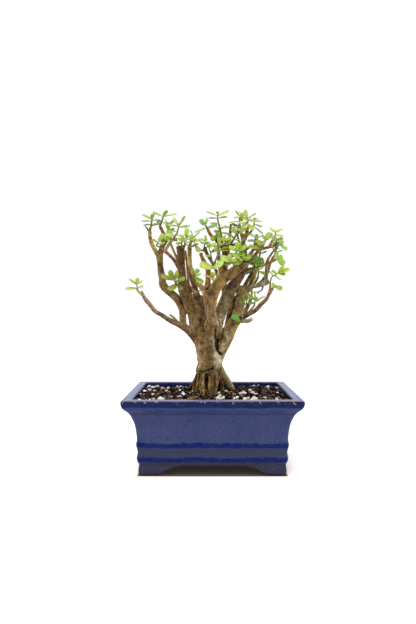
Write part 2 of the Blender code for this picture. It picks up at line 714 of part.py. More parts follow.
def object_from(mesh_builder, name, collection, material=None):
    """Turns a bmesh in millimetres into an object in metres."""
    bmesh.ops.transform(mesh_builder, matrix=Matrix.Scale(MM, 4), verts=mesh_builder.verts)
    bmesh.ops.recalc_face_normals(mesh_builder, faces=mesh_builder.faces)
    mesh = bpy.data.meshes.new(name)
    mesh_builder.to_mesh(mesh)
    mesh_builder.free()
    if material:
        mesh.materials.append(material)
    made = bpy.data.objects.new(name, mesh)
    collection.objects.link(made)
    return made


def box(name, low, high, collection):
    shape = bmesh.new()
    bmesh.ops.create_cube(shape, size=1)
    size = Vector(high) - Vector(low)
    middle = (Vector(high) + Vector(low)) / 2
    bmesh.ops.scale(shape, vec=size, verts=shape.verts)
    bmesh.ops.translate(shape, vec=middle, verts=shape.verts)
    return object_from(shape, name, collection)


def rectangle_ring(shape, inset, height):
    """One level of the pot: a rectangle with round corners, as a closed ring of edges."""
    half_width = POT_WIDTH / 2 - inset - CORNER_RADIUS
    half_depth = POT_DEPTH / 2 - inset - CORNER_RADIUS
    corners = [(1, 1, 0), (-1, 1, 90), (-1, -1, 180), (1, -1, 270)]
    verts = []
    for side_x, side_y, start in corners:
        for step in range(CORNER_STEPS + 1):
            angle = math.radians(start + 90 * step / CORNER_STEPS)
            x = side_x * half_width + CORNER_RADIUS * math.cos(angle)
            y = side_y * half_depth + CORNER_RADIUS * math.sin(angle)
            verts.append(shape.verts.new((x, y, height)))
    return [shape.edges.new((verts[i - 1], verts[i])) for i in range(len(verts))]


def stacked_rectangles(name, levels, collection, inset=0.0, material=None):
    """A closed solid through the rectangles at the given levels."""
    shape = bmesh.new()
    rings = [rectangle_ring(shape, stand_in + inset, height) for stand_in, height in levels]
    for lower, upper in zip(rings, rings[1:]):
        bmesh.ops.bridge_loops(shape, edges=lower + upper)
    bmesh.ops.contextual_create(shape, geom=rings[0])
    bmesh.ops.contextual_create(shape, geom=rings[-1])
    return object_from(shape, name, collection, material)


def arch_cutter(name, half_outline, length, turn, collection):
    """A passage under the pot: an arch outline drawn upright and extruded along its passage."""
    outline = bpy.data.curves.new(name, "CURVE")
    outline.dimensions = "2D"
    outline.fill_mode = "BOTH"
    outline.extrude = length / 2 * MM
    spline = outline.splines.new("POLY")
    points = half_outline + [(-x, z) for x, z in reversed(half_outline)]
    spline.points.add(len(points) - 1)
    for point, (x, z) in zip(spline.points, points):
        point.co = (x * MM, z * MM, 0, 1)
    spline.use_cyclic_u = True
    flat = bpy.data.objects.new(name, outline)
    flat.rotation_euler = (math.radians(90), 0, math.radians(turn))
    collection.objects.link(flat)
    return mesh_from_curve(flat, collection)


def mesh_from_curve(curve_object, collection, material=None):
    """The curve's solid as a mesh object, with its caps welded on."""
    bpy.context.view_layer.update()
    evaluated = curve_object.evaluated_get(bpy.context.evaluated_depsgraph_get())
    mesh = bpy.data.meshes.new_from_object(evaluated)
    name = curve_object.name
    place = curve_object.matrix_world.copy()
    bpy.data.objects.remove(curve_object)
    shape = bmesh.new()
    shape.from_mesh(mesh)
    bmesh.ops.remove_doubles(shape, verts=shape.verts, dist=0.01 * MM)
    bmesh.ops.recalc_face_normals(shape, faces=shape.faces)
    shape.to_mesh(mesh)
    shape.free()
    mesh.materials.clear()
    if material:
        mesh.materials.append(material)
    made = bpy.data.objects.new(name, mesh)
    made.matrix_world = place
    collection.objects.link(made)
    return made


def section(sides):
    """The cross-section that a tube is swept from: a regular polygon, 1 mm in radius."""
    name = f"section_{sides}"
    if name in bpy.data.objects:
        return bpy.data.objects[name]
    outline = bpy.data.curves.new(name, "CURVE")
    outline.dimensions = "2D"
    spline = outline.splines.new("POLY")
    spline.points.add(sides - 1)
    for index, point in enumerate(spline.points):
        angle = 2 * math.pi * index / sides
        point.co = (MM * math.cos(angle), MM * math.sin(angle), 0, 1)
    spline.use_cyclic_u = True
    made = bpy.data.objects.new(name, outline)
    bpy.data.collections["cutters"].objects.link(made)
    return made


def tube(name, points, collection, sides, grow=0.0, material=None):
    """A solid along a route of points (x, y, z, radius), with flat ends."""
    curve = bpy.data.curves.new(name, "CURVE")
    curve.dimensions = "3D"
    curve.bevel_mode = "OBJECT"
    curve.bevel_object = section(sides)
    curve.use_fill_caps = True
    spline = curve.splines.new("POLY")
    spline.points.add(len(points) - 1)
    for point, (x, y, z, radius) in zip(spline.points, points):
        point.co = (x * MM, y * MM, z * MM, 1)
        point.radius = radius + grow
    made = bpy.data.objects.new(name, curve)
    collection.objects.link(made)
    return mesh_from_curve(made, collection, material)


def boolean(target, operation, cutters, solver="EXACT"):
    """Applies a Boolean on an object or a collection, and removes what it used up."""
    modifier = target.modifiers.new("boolean", "BOOLEAN")
    modifier.operation = operation
    modifier.solver = solver
    if isinstance(cutters, bpy.types.Collection):
        modifier.operand_type = "COLLECTION"
        modifier.collection = cutters
        used = list(cutters.objects)
    else:
        modifier.object = cutters
        used = [cutters]
    bpy.context.view_layer.update()
    evaluated = target.evaluated_get(bpy.context.evaluated_depsgraph_get())
    mesh = bpy.data.meshes.new_from_object(evaluated)
    target.modifiers.clear()
    target.data = mesh
    for old in used:
        bpy.data.objects.remove(old)


def shade(made, degrees):
    made.data.shade_smooth()
    made.data.set_sharp_from_angle(angle=math.radians(degrees))


def make_pot(parts, cutters, glaze):
    pot = stacked_rectangles("pot", OUTSIDE, parts, material=glaze)
    boolean(pot, "DIFFERENCE", stacked_rectangles("pot_inside", INSIDE, cutters))
    boolean(pot, "DIFFERENCE", arch_cutter("front_arch", FRONT_ARCH, 2 * POT_DEPTH, 0, cutters))
    boolean(pot, "DIFFERENCE", arch_cutter("side_arch", SIDE_ARCH, 2 * POT_WIDTH, 90, cutters))
    for x in (-DRAIN_HOLE_X, DRAIN_HOLE_X):
        hole = [(x, 0, 0, DRAIN_HOLE_RADIUS), (x, 0, FLOOR_TOP + 5, DRAIN_HOLE_RADIUS)]
        boolean(pot, "DIFFERENCE", tube("drain_hole", hole, cutters, DRAIN_HOLE_SIDES))
    shade(pot, 30)


def make_screen(name, middle_x, parts, cutters, plastic):
    """Crossed flat wires in one layer, lying on the pot's floor over a drain hole."""
    half = SCREEN_SIDE / 2
    low = FLOOR_TOP + GAP
    high = low + SCREEN_THICKNESS
    step = (SCREEN_SIDE - SCREEN_WIRE) / (SCREEN_WIRES - 1)
    others = make_collection(name + "_wires")
    wires = []
    for index in range(SCREEN_WIRES):
        start = -half + index * step
        end = start + SCREEN_WIRE
        wires.append(box("wire", (middle_x + start, -half, low), (middle_x + end, half, high), others))
        wires.append(box("wire", (middle_x - half, start, low), (middle_x + half, end, high), others))
    screen = wires[0]
    others.objects.unlink(screen)
    parts.objects.link(screen)
    boolean(screen, "UNION", others)
    bpy.data.collections.remove(others)
    screen.name = name
    screen.data.materials.append(plastic)


def buried(points, depth):
    """A root's route, carried on down under the soil."""
    x, y, z, radius = points[-1]
    before_x, before_y, before_z, _ = points[-2]
    share = depth / (before_z - z) * ROOT_STRAIGHTENING
    return points + [(x + (x - before_x) * share, y + (y - before_y) * share, z - depth, radius)]


def make_soil(parts, cutters, earth):
    """The pot's filling: a block with a grainy, mounded top, cut to the pot's inside."""
    block = bmesh.new()
    columns = round(POT_WIDTH / SOIL_CELL)
    rows = round(POT_DEPTH / SOIL_CELL)
    bmesh.ops.create_grid(block, x_segments=columns, y_segments=rows, size=0.5)
    bmesh.ops.scale(block, vec=(POT_WIDTH, POT_DEPTH, 1), verts=block.verts)
    grains = random.Random(SOIL_SEED)
    bottom = bmesh.ops.extrude_face_region(block, geom=block.faces[:])["geom"]
    lowered = {item for item in bottom if isinstance(item, bmesh.types.BMVert)}
    for vert in block.verts:
        if vert in lowered:
            vert.co.z = 0
            continue
        away = math.hypot(vert.co.x / POT_WIDTH, vert.co.y / POT_DEPTH)
        rise = SOIL_RISE * math.exp(-(away * SOIL_FALL) ** 2)
        vert.co.z = SOIL_LEVEL + rise + grains.uniform(-SOIL_GRAIN, SOIL_GRAIN)
    soil = object_from(block, "soil", parts, earth)
    filled = [(inset, height + GAP) for inset, height in INSIDE]
    boolean(soil, "INTERSECT", stacked_rectangles("filling", filled, cutters, inset=GAP))
    half = SCREEN_SIDE / 2 + GAP
    for x in (-DRAIN_HOLE_X, DRAIN_HOLE_X):
        top = FLOOR_TOP + SCREEN_THICKNESS + 2 * GAP
        boolean(soil, "DIFFERENCE", box("recess", (x - half, -half, 0), (x + half, half, top), cutters))
    holes = make_collection("root_holes")
    for name, points in ROOTS.items():
        hole = buried(points, ROOT_DEPTH + 1)
        tube(name, hole, holes, ROOT_SIDES, grow=2 * GAP)
    boolean(soil, "DIFFERENCE", holes)
    bpy.data.collections.remove(holes)


def twig_end(stem):
    """The end and direction of the twig that a stem carries on from, or None."""
    foot = np.array(stem[0][:3], float)
    for points in WOOD.values():
        end = np.array(points[-1][:3], float)
        if np.linalg.norm(end - foot) < TWIG_END_REACH:
            return end, unit(end - np.array(points[-2][:3], float))
    return None


def shoot_nub(stem):
    """The short woody spur that a stem grows from, where it doesn't carry on from a twig."""
    start = np.array(stem[0][:3], float)
    along = unit(np.array(stem[1][:3], float) - start)
    radius = stem[0][3] + NUB_EXTRA
    root = start - along * NUB_LENGTH
    return [(*root, radius * NUB_TAPER), (*start, radius)]


def seated(stem):
    """The stem's route, begun square to its twig's end or its nub, the gap away from it."""
    radius = stem[0][3]
    end = twig_end(stem)
    if end:
        start, along = end
    else:
        start = np.array(stem[0][:3], float)
        along = unit(np.array(stem[1][:3], float) - start)
    first = start + along * GAP
    second = start + along * (GAP + STEM_STRAIGHT)
    return [(*first, radius), (*second, radius)] + list(stem[1:])


def wood_sides(points):
    """How many sides a branch's cross-section has, by its greatest radius."""
    widest = max(point[3] for point in points)
    return next(sides for least, sides in WOOD_SIDES if widest >= least)


def make_plant_wood(parts, bark):
    """Trunk, roots, limbs, twigs and nubs, joined in one solid."""
    others = make_collection("branches")
    for name, points in WOOD.items():
        tube(name, points, others, wood_sides(points))
    for name, points in ROOTS.items():
        tube("root_" + name, buried(points, ROOT_DEPTH), others, ROOT_SIDES)
    for stem, _ in SHOOTS:
        if not twig_end(stem):
            nub = shoot_nub(stem)
            tube("nub", nub, others, wood_sides(nub))
    trunk = bpy.data.objects["trunk"]
    others.objects.unlink(trunk)
    parts.objects.link(trunk)
    boolean(trunk, "UNION", others, WOOD_SOLVER)
    bpy.data.collections.remove(others)
    trunk.data.materials.clear()
    trunk.data.materials.append(bark)
    shade(trunk, 50)


def spheres_along(points, spacing=1.2):
    """Balls (x, y, z, radius) that fill a route, for measuring distances to it."""
    balls = []
    for first, second in zip(points, points[1:]):
        first = np.array(first, float)
        second = np.array(second, float)
        count = max(1, int(np.linalg.norm(second[:3] - first[:3]) / spacing))
        for index in range(count + 1):
            balls.append(first + (second - first) * index / count)
    return np.array(balls)


def stem_point(stem, place):
    """Point and direction at a place along the stem, from 0 at its foot to 1 at its tip."""
    points = np.array([point[:3] for point in stem], float)
    lengths = np.linalg.norm(np.diff(points, axis=0), axis=1)
    want = place * lengths.sum()
    for index, length in enumerate(lengths):
        if want <= length or index == len(lengths) - 1:
            break
        want -= length
    along = (points[index + 1] - points[index]) / lengths[index]
    return points[index] + along * want, along


def stem_length(stem):
    points = np.array([point[:3] for point in stem], float)
    return np.linalg.norm(np.diff(points, axis=0), axis=1).sum()


def leaf_half_width(place):
    """Half the width of a leaf, as a share of its greatest half width, from 0 at its foot to 1."""
    return math.sin(math.pi * min(1.0, place ** 1.35 * 0.97 + 0.03)) ** 0.7


class Leaf:
    """One blade: where it sits, how it is turned and how large it is."""

    def __init__(self, base, along, face, length, width):
        self.base = base
        self.along = unit(along)
        face = face - self.along * face.dot(self.along)
        self.face = unit(face)
        self.across = np.cross(self.face, self.along)
        self.length = length
        self.width = width

    def samples(self):
        """Points over the blade, close enough that nothing slips between them."""
        found = []
        for place in (0.3, 0.45, 0.6, 0.75, 0.9, 1.0):
            half = self.width / 2 * leaf_half_width(place)
            for side in (-1, -0.5, 0, 0.5, 1):
                found.append(self.base + self.along * place * self.length + self.across * half * side)
        return np.array(found)

    def holds(self, points, margin):
        """Whether any of the points lies inside the blade, or within the margin of it."""
        offset = points - (self.base + self.along * self.length / 2)
        size = (
            ((offset @ self.along) / (self.length / 2 + margin)) ** 2
            + ((offset @ self.across) / (self.width / 2 + margin)) ** 2
            + ((offset @ self.face) / (LEAF_THICKNESS / 2 + margin)) ** 2
        )
        return bool((size < 1).any())

    def turned(self, roll, swing, lift, share):
        """The same leaf a little rolled, swung and shortened."""
        across = self.across * math.cos(roll) + self.face * math.sin(roll)
        face = np.cross(self.along, across)
        along = self.along + across * math.tan(swing) + face * math.tan(lift)
        return Leaf(self.base, along, face, self.length * share, self.width * share)


# What is tried, in turn, on a leaf that would touch something: roll, swing, lift and size
LEAF_TRIES = [
    (0, 0, 0, 1.0), (22, 0, 0, 1.0), (-22, 0, 0, 1.0), (0, 0, 14, 0.95), (0, 0, -14, 0.95),
    (0, 13, 0, 0.95), (0, -13, 0, 0.95), (45, 0, 0, 0.92), (-45, 0, 0, 0.92), (0, 0, 28, 0.88),
    (0, 0, -28, 0.88), (0, 26, 0, 0.88), (0, -26, 0, 0.88), (30, 20, 20, 0.82), (-30, -20, 20, 0.82),
    (30, -20, -20, 0.82), (-30, 20, -20, 0.82), (0, 0, 0, 0.72), (70, 0, 0, 0.72), (0, 0, 40, 0.72),
]


def wanted_leaves(stem, marked, chance):
    """The leaves drawn for a stem, then pairs set crosswise where none was drawn."""
    leaves = []
    for place, x, y, z, width in marked:
        base, along = stem_point(stem, min(place, LAST_PLACE))
        reach = np.array((x, y, z), float) - base
        sway = chance.uniform(-FACE_SWAY, FACE_SWAY)
        face = along + np.array((sway, -chance.uniform(*FACE_FORWARD), chance.uniform(*FACE_LIFT)))
        leaves.append(Leaf(base, reach, face, float(np.linalg.norm(reach)), width))
    crossing = chance.uniform(60, 120)
    places = FULL_PLACES
    if marked:
        places = EXTRA_PLACES if len(marked) < FULL_STEM and stem_length(stem) > LONG_STEM else ()
    for pair, place in enumerate(places):
        base, along = stem_point(stem, place)
        side = unit(np.cross(along, (1.0, 0.1, 0.0)))
        front = np.cross(along, side)
        for half in (0, 180):
            angle = math.radians(crossing + 90 * pair + half + chance.uniform(-PAIR_TURN, PAIR_TURN))
            out = side * math.cos(angle) + front * math.sin(angle)
            closing = PAIR_TIP_CLOSING if place > LAST_PLACE else 0
            spread = math.radians(chance.uniform(*PAIR_SPREAD) - closing)
            reach = along * math.cos(spread) + out * math.sin(spread)
            size = chance.uniform(*PAIR_LEAF_LENGTH)
            face = along * math.sin(spread) - out * math.cos(spread) + np.array((0, 0, PAIR_FACE_LIFT))
            leaves.append(Leaf(base, reach, face, size, size * chance.uniform(*PAIR_LEAF_SHAPE)))
    return leaves


def place_leaves():
    """Settles every leaf so that it is clear of all wood and of every other shoot."""
    chance = random.Random(LEAF_SEED)
    routes = list(WOOD.values()) + [shoot_nub(stem) for stem, _ in SHOOTS if not twig_end(stem)]
    wood = np.concatenate([spheres_along(points) for points in routes])
    stems = [spheres_along(seated(stem)) for stem, _ in SHOOTS]
    placed = [[] for _ in SHOOTS]
    for number, (stem, marked) in enumerate(SHOOTS):
        others = [balls for index, balls in enumerate(stems) if index != number]
        solid = np.concatenate([wood] + others)
        for leaf in wanted_leaves(stem, marked, chance):
            for roll, swing, lift, share in LEAF_TRIES:
                trial = leaf.turned(math.radians(roll), math.radians(swing), math.radians(lift), share)
                if fits(trial, solid, placed, number):
                    placed[number].append(trial)
                    break
    return placed


def fits(leaf, solid, placed, number):
    """Whether a leaf is clear of the balls in solid and of the leaves placed so far."""
    points = leaf.samples()
    near = solid[np.linalg.norm(solid[:, :3] - leaf.base, axis=1) < leaf.length + WOOD_NEARBY]
    away = np.linalg.norm(points[:, None] - near[None, :, :3], axis=2) - near[None, :, 3]
    if away.size and away.min() < WOOD_CLEARANCE:
        return False
    for index, leaves in enumerate(placed):
        margin = OWN_LEAF_CLEARANCE if index == number else LEAF_CLEARANCE
        for other in leaves:
            if np.linalg.norm(other.base - leaf.base) > other.length + leaf.length + LEAF_NEARBY:
                continue
            theirs = other.samples()
            if index == number:
                if other.holds(points[10:], margin) or leaf.holds(theirs[10:], margin):
                    return False
            elif other.holds(points, margin) or leaf.holds(theirs, margin):
                return False
    return True


def leaf_object(leaf, collection):
    """A plump blade, from a squashed ball drawn out to a narrow foot and a blunt tip."""
    shape = bmesh.new()
    bmesh.ops.create_uvsphere(shape, u_segments=LEAF_SEGMENTS, v_segments=2, radius=1)
    turn = Matrix.Rotation(math.radians(90), 3, "Z")
    bmesh.ops.rotate(shape, verts=shape.verts, matrix=turn)
    for vert in shape.verts:
        vert.co.x += LEAF_BULGE * (1 - vert.co.x ** 2)
        vert.co.y *= LEAF_FOOT + LEAF_WIDENING * (vert.co.x + 1)
    size = Vector(((leaf.length + LEAF_SINK) / 2, leaf.width / 2, LEAF_THICKNESS / 2))
    bmesh.ops.scale(shape, vec=size, verts=shape.verts)
    bmesh.ops.translate(shape, vec=((leaf.length - LEAF_SINK) / 2, 0, 0), verts=shape.verts)
    columns = (leaf.along, leaf.across, leaf.face, leaf.base)
    place = Matrix([[float(column[row]) for column in columns] for row in range(3)] + [[0, 0, 0, 1]])
    bmesh.ops.transform(shape, matrix=place, verts=shape.verts)
    return object_from(shape, "leaf", collection)


def make_shoot(name, stem, leaves, parts, green):
    """One leafy stem: its leaves' feet are sunk in the stem and fused with it."""
    others = make_collection(name + "_leaves")
    for leaf in leaves:
        leaf_object(leaf, others)
    shoot = tube(name, seated(stem), parts, STEM_SIDES)
    boolean(shoot, "UNION", others, "MANIFOLD")
    bpy.data.collections.remove(others)
    shoot.data.materials.clear()
    shoot.data.materials.append(green)
    shade(shoot, 60)


def main():
    clear_scene()
    parts = make_collection("jade_bonsai")
    cutters = make_collection("cutters", hidden=True)
    glaze = make_material("blue_glaze", (0.055, 0.065, 0.14), 0.28, coat=0.4)
    earth = make_material("gritty_soil", (0.035, 0.028, 0.024), 0.95)
    plastic = make_material("black_screen", (0.02, 0.02, 0.02), 0.6)
    bark = make_material("brown_bark", (0.14, 0.09, 0.06), 0.85)
    green = make_material("jade_leaf", (0.22, 0.38, 0.07), 0.4)
    make_pot(parts, cutters, glaze)
    make_screen("drain_screen_left", -DRAIN_HOLE_X, parts, cutters, plastic)
    make_screen("drain_screen_right", DRAIN_HOLE_X, parts, cutters, plastic)
    make_soil(parts, cutters, earth)
    make_plant_wood(parts, bark)
    for number, ((stem, _), leaves) in enumerate(zip(SHOOTS, place_leaves()), 1):
        make_shoot(f"shoot_{number:02d}", stem, leaves, parts, green)
    bpy.data.collections.remove(cutters)


main()
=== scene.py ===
"""Looks of a dwarf jade bonsai in a glazed pot: finer pieces, finishes, light and camera.

Lengths are millimetres while a piece is shaped, and metres in the finished objects. The
routes of the wood and stems, and the rule that settles the leaves, are the same as in the
construction, so every fine piece lies where its solid is.
"""
import math
import random

import bmesh
import bpy
import numpy as np
from mathutils import Matrix, Vector, bvhtree, noise


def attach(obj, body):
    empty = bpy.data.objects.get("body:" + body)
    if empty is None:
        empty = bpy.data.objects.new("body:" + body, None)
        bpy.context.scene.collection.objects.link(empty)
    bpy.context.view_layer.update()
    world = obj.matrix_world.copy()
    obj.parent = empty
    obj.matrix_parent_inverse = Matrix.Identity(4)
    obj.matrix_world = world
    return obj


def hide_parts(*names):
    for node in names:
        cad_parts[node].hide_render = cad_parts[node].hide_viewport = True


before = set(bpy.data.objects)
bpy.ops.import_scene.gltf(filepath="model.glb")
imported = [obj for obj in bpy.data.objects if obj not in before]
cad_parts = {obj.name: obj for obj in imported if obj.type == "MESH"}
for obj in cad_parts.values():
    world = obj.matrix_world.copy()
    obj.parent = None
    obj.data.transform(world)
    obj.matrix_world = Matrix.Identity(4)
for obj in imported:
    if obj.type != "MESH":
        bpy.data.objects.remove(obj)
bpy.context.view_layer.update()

MM = 0.001
NO_LIMIT = 1e6

# Camera: a level wide lens, with the sensor's long side upright
CAMERA_AT = (-0.005, -0.597, 0.182)
CAMERA_LENS = 28.0
CAMERA_SENSOR = 36.0

# Pot, over the rim, and the rings that it is built from: (stand-in from the edge, height)
POT_WIDTH = 200.0
POT_DEPTH = 152.0
POT_HEIGHT = 86.0
CORNER_RADIUS = 5.0
CORNER_STEPS = 8
LEVEL_STEP = 1.2
HOLE_SIDES = 32
FLOOR_TOP = 19.0
OUTSIDE = [
    (19.6, 0.0), (17.6, 1.3), (17.0, 5.6), (17.7, 12.0), (16.2, 15.2), (15.5, 19.9),
    (16.4, 25.1), (15.9, 28.6), (14.8, 34.4), (15.5, 39.8), (14.8, 48.8), (13.1, 58.0),
    (9.9, 66.5), (7.8, 70.2), (5.5, 72.9), (2.7, 75.6), (1.0, 78.1), (0.0, 81.5),
    (0.0, 84.6), (1.2, POT_HEIGHT),
]
INSIDE = [
    (27.0, FLOOR_TOP), (24.5, 21.5), (21.5, 48.0), (15.0, 73.0),
    (12.0, 80.0), (11.5, 85.0), (10.5, POT_HEIGHT + 1),
]
FRONT_ARCH = [(64.0, -1.0), (57.5, 3.0), (47.0, 8.2), (37.0, 11.0)]
SIDE_ARCH = [(45.0, -1.0), (38.5, 3.0), (28.0, 8.2), (18.0, 11.0)]
DRAIN_HOLE_X = 45.0
DRAIN_HOLE_RADIUS = 7.0
EDGE_ROUNDING = 0.7

# Joints of roots, stems and twigs, in millimetres: the same values as in the construction
GAP = 0.3
ROOT_DEPTH = 9.0
ROOT_STRAIGHTENING = 0.5
STEM_STRAIGHT = 1.2
TWIG_END_REACH = 3.0
NUB_LENGTH = 3.5
NUB_EXTRA = 0.35
NUB_TAPER = 1.15

# The rule that settles the leaves, the same too
LEAF_THICKNESS = 2.4
LEAF_SINK = 1.0
LEAF_CLEARANCE = 0.7
OWN_LEAF_CLEARANCE = 0.1
WOOD_CLEARANCE = 1.5
WOOD_NEARBY = 20.0
LEAF_NEARBY = 3.0
LEAF_SEED = 11
SAMPLE_PLACES = (0.3, 0.45, 0.6, 0.75, 0.9, 1.0)
SAMPLE_SIDES = (-1, -0.5, 0, 0.5, 1)
# Leaves of one shoot may touch at their feet, so that many samples there don't count
FOOT_SAMPLES = 10
LAST_PLACE = 0.9
FACE_SWAY = 0.35
FACE_FORWARD = (0.15, 0.8)
FACE_LIFT = (0.1, 0.5)
PAIR_CROSSING = (60, 120)
PAIR_LEAF_LENGTH = (9.5, 13.5)
PAIR_LEAF_SHAPE = (0.58, 0.72)
PAIR_SPREAD = (48, 72)
PAIR_TIP_CLOSING = 22
PAIR_TURN = 18
PAIR_FACE_LIFT = 0.6
FULL_PLACES = (0.25, 0.62, 0.97)
EXTRA_PLACES = (0.62,)
LONG_STEM = 10.0
FULL_STEM = 5

# Fine wood: grid of the joined surface, route step, and what counts as a thick branch
WOOD_VOXEL = 0.65
ROUTE_STEP = 1.0
THICK_BRANCH = 2.3
TUBE_SIDES = 14
TWIG_TUBE_SIDES = 10
WELD_DISTANCE = 0.002

# Fine leaves: thickness at the middle
BLADE_THICKNESS = 1.9

# Angles in degrees past which an edge between two faces is shown sharp
GRAIN_SHARP_ANGLE = 35
POT_SHARP_ANGLE = 50
TWIG_SHARP_ANGLE = 60
LEAF_SHARP_ANGLE = 80

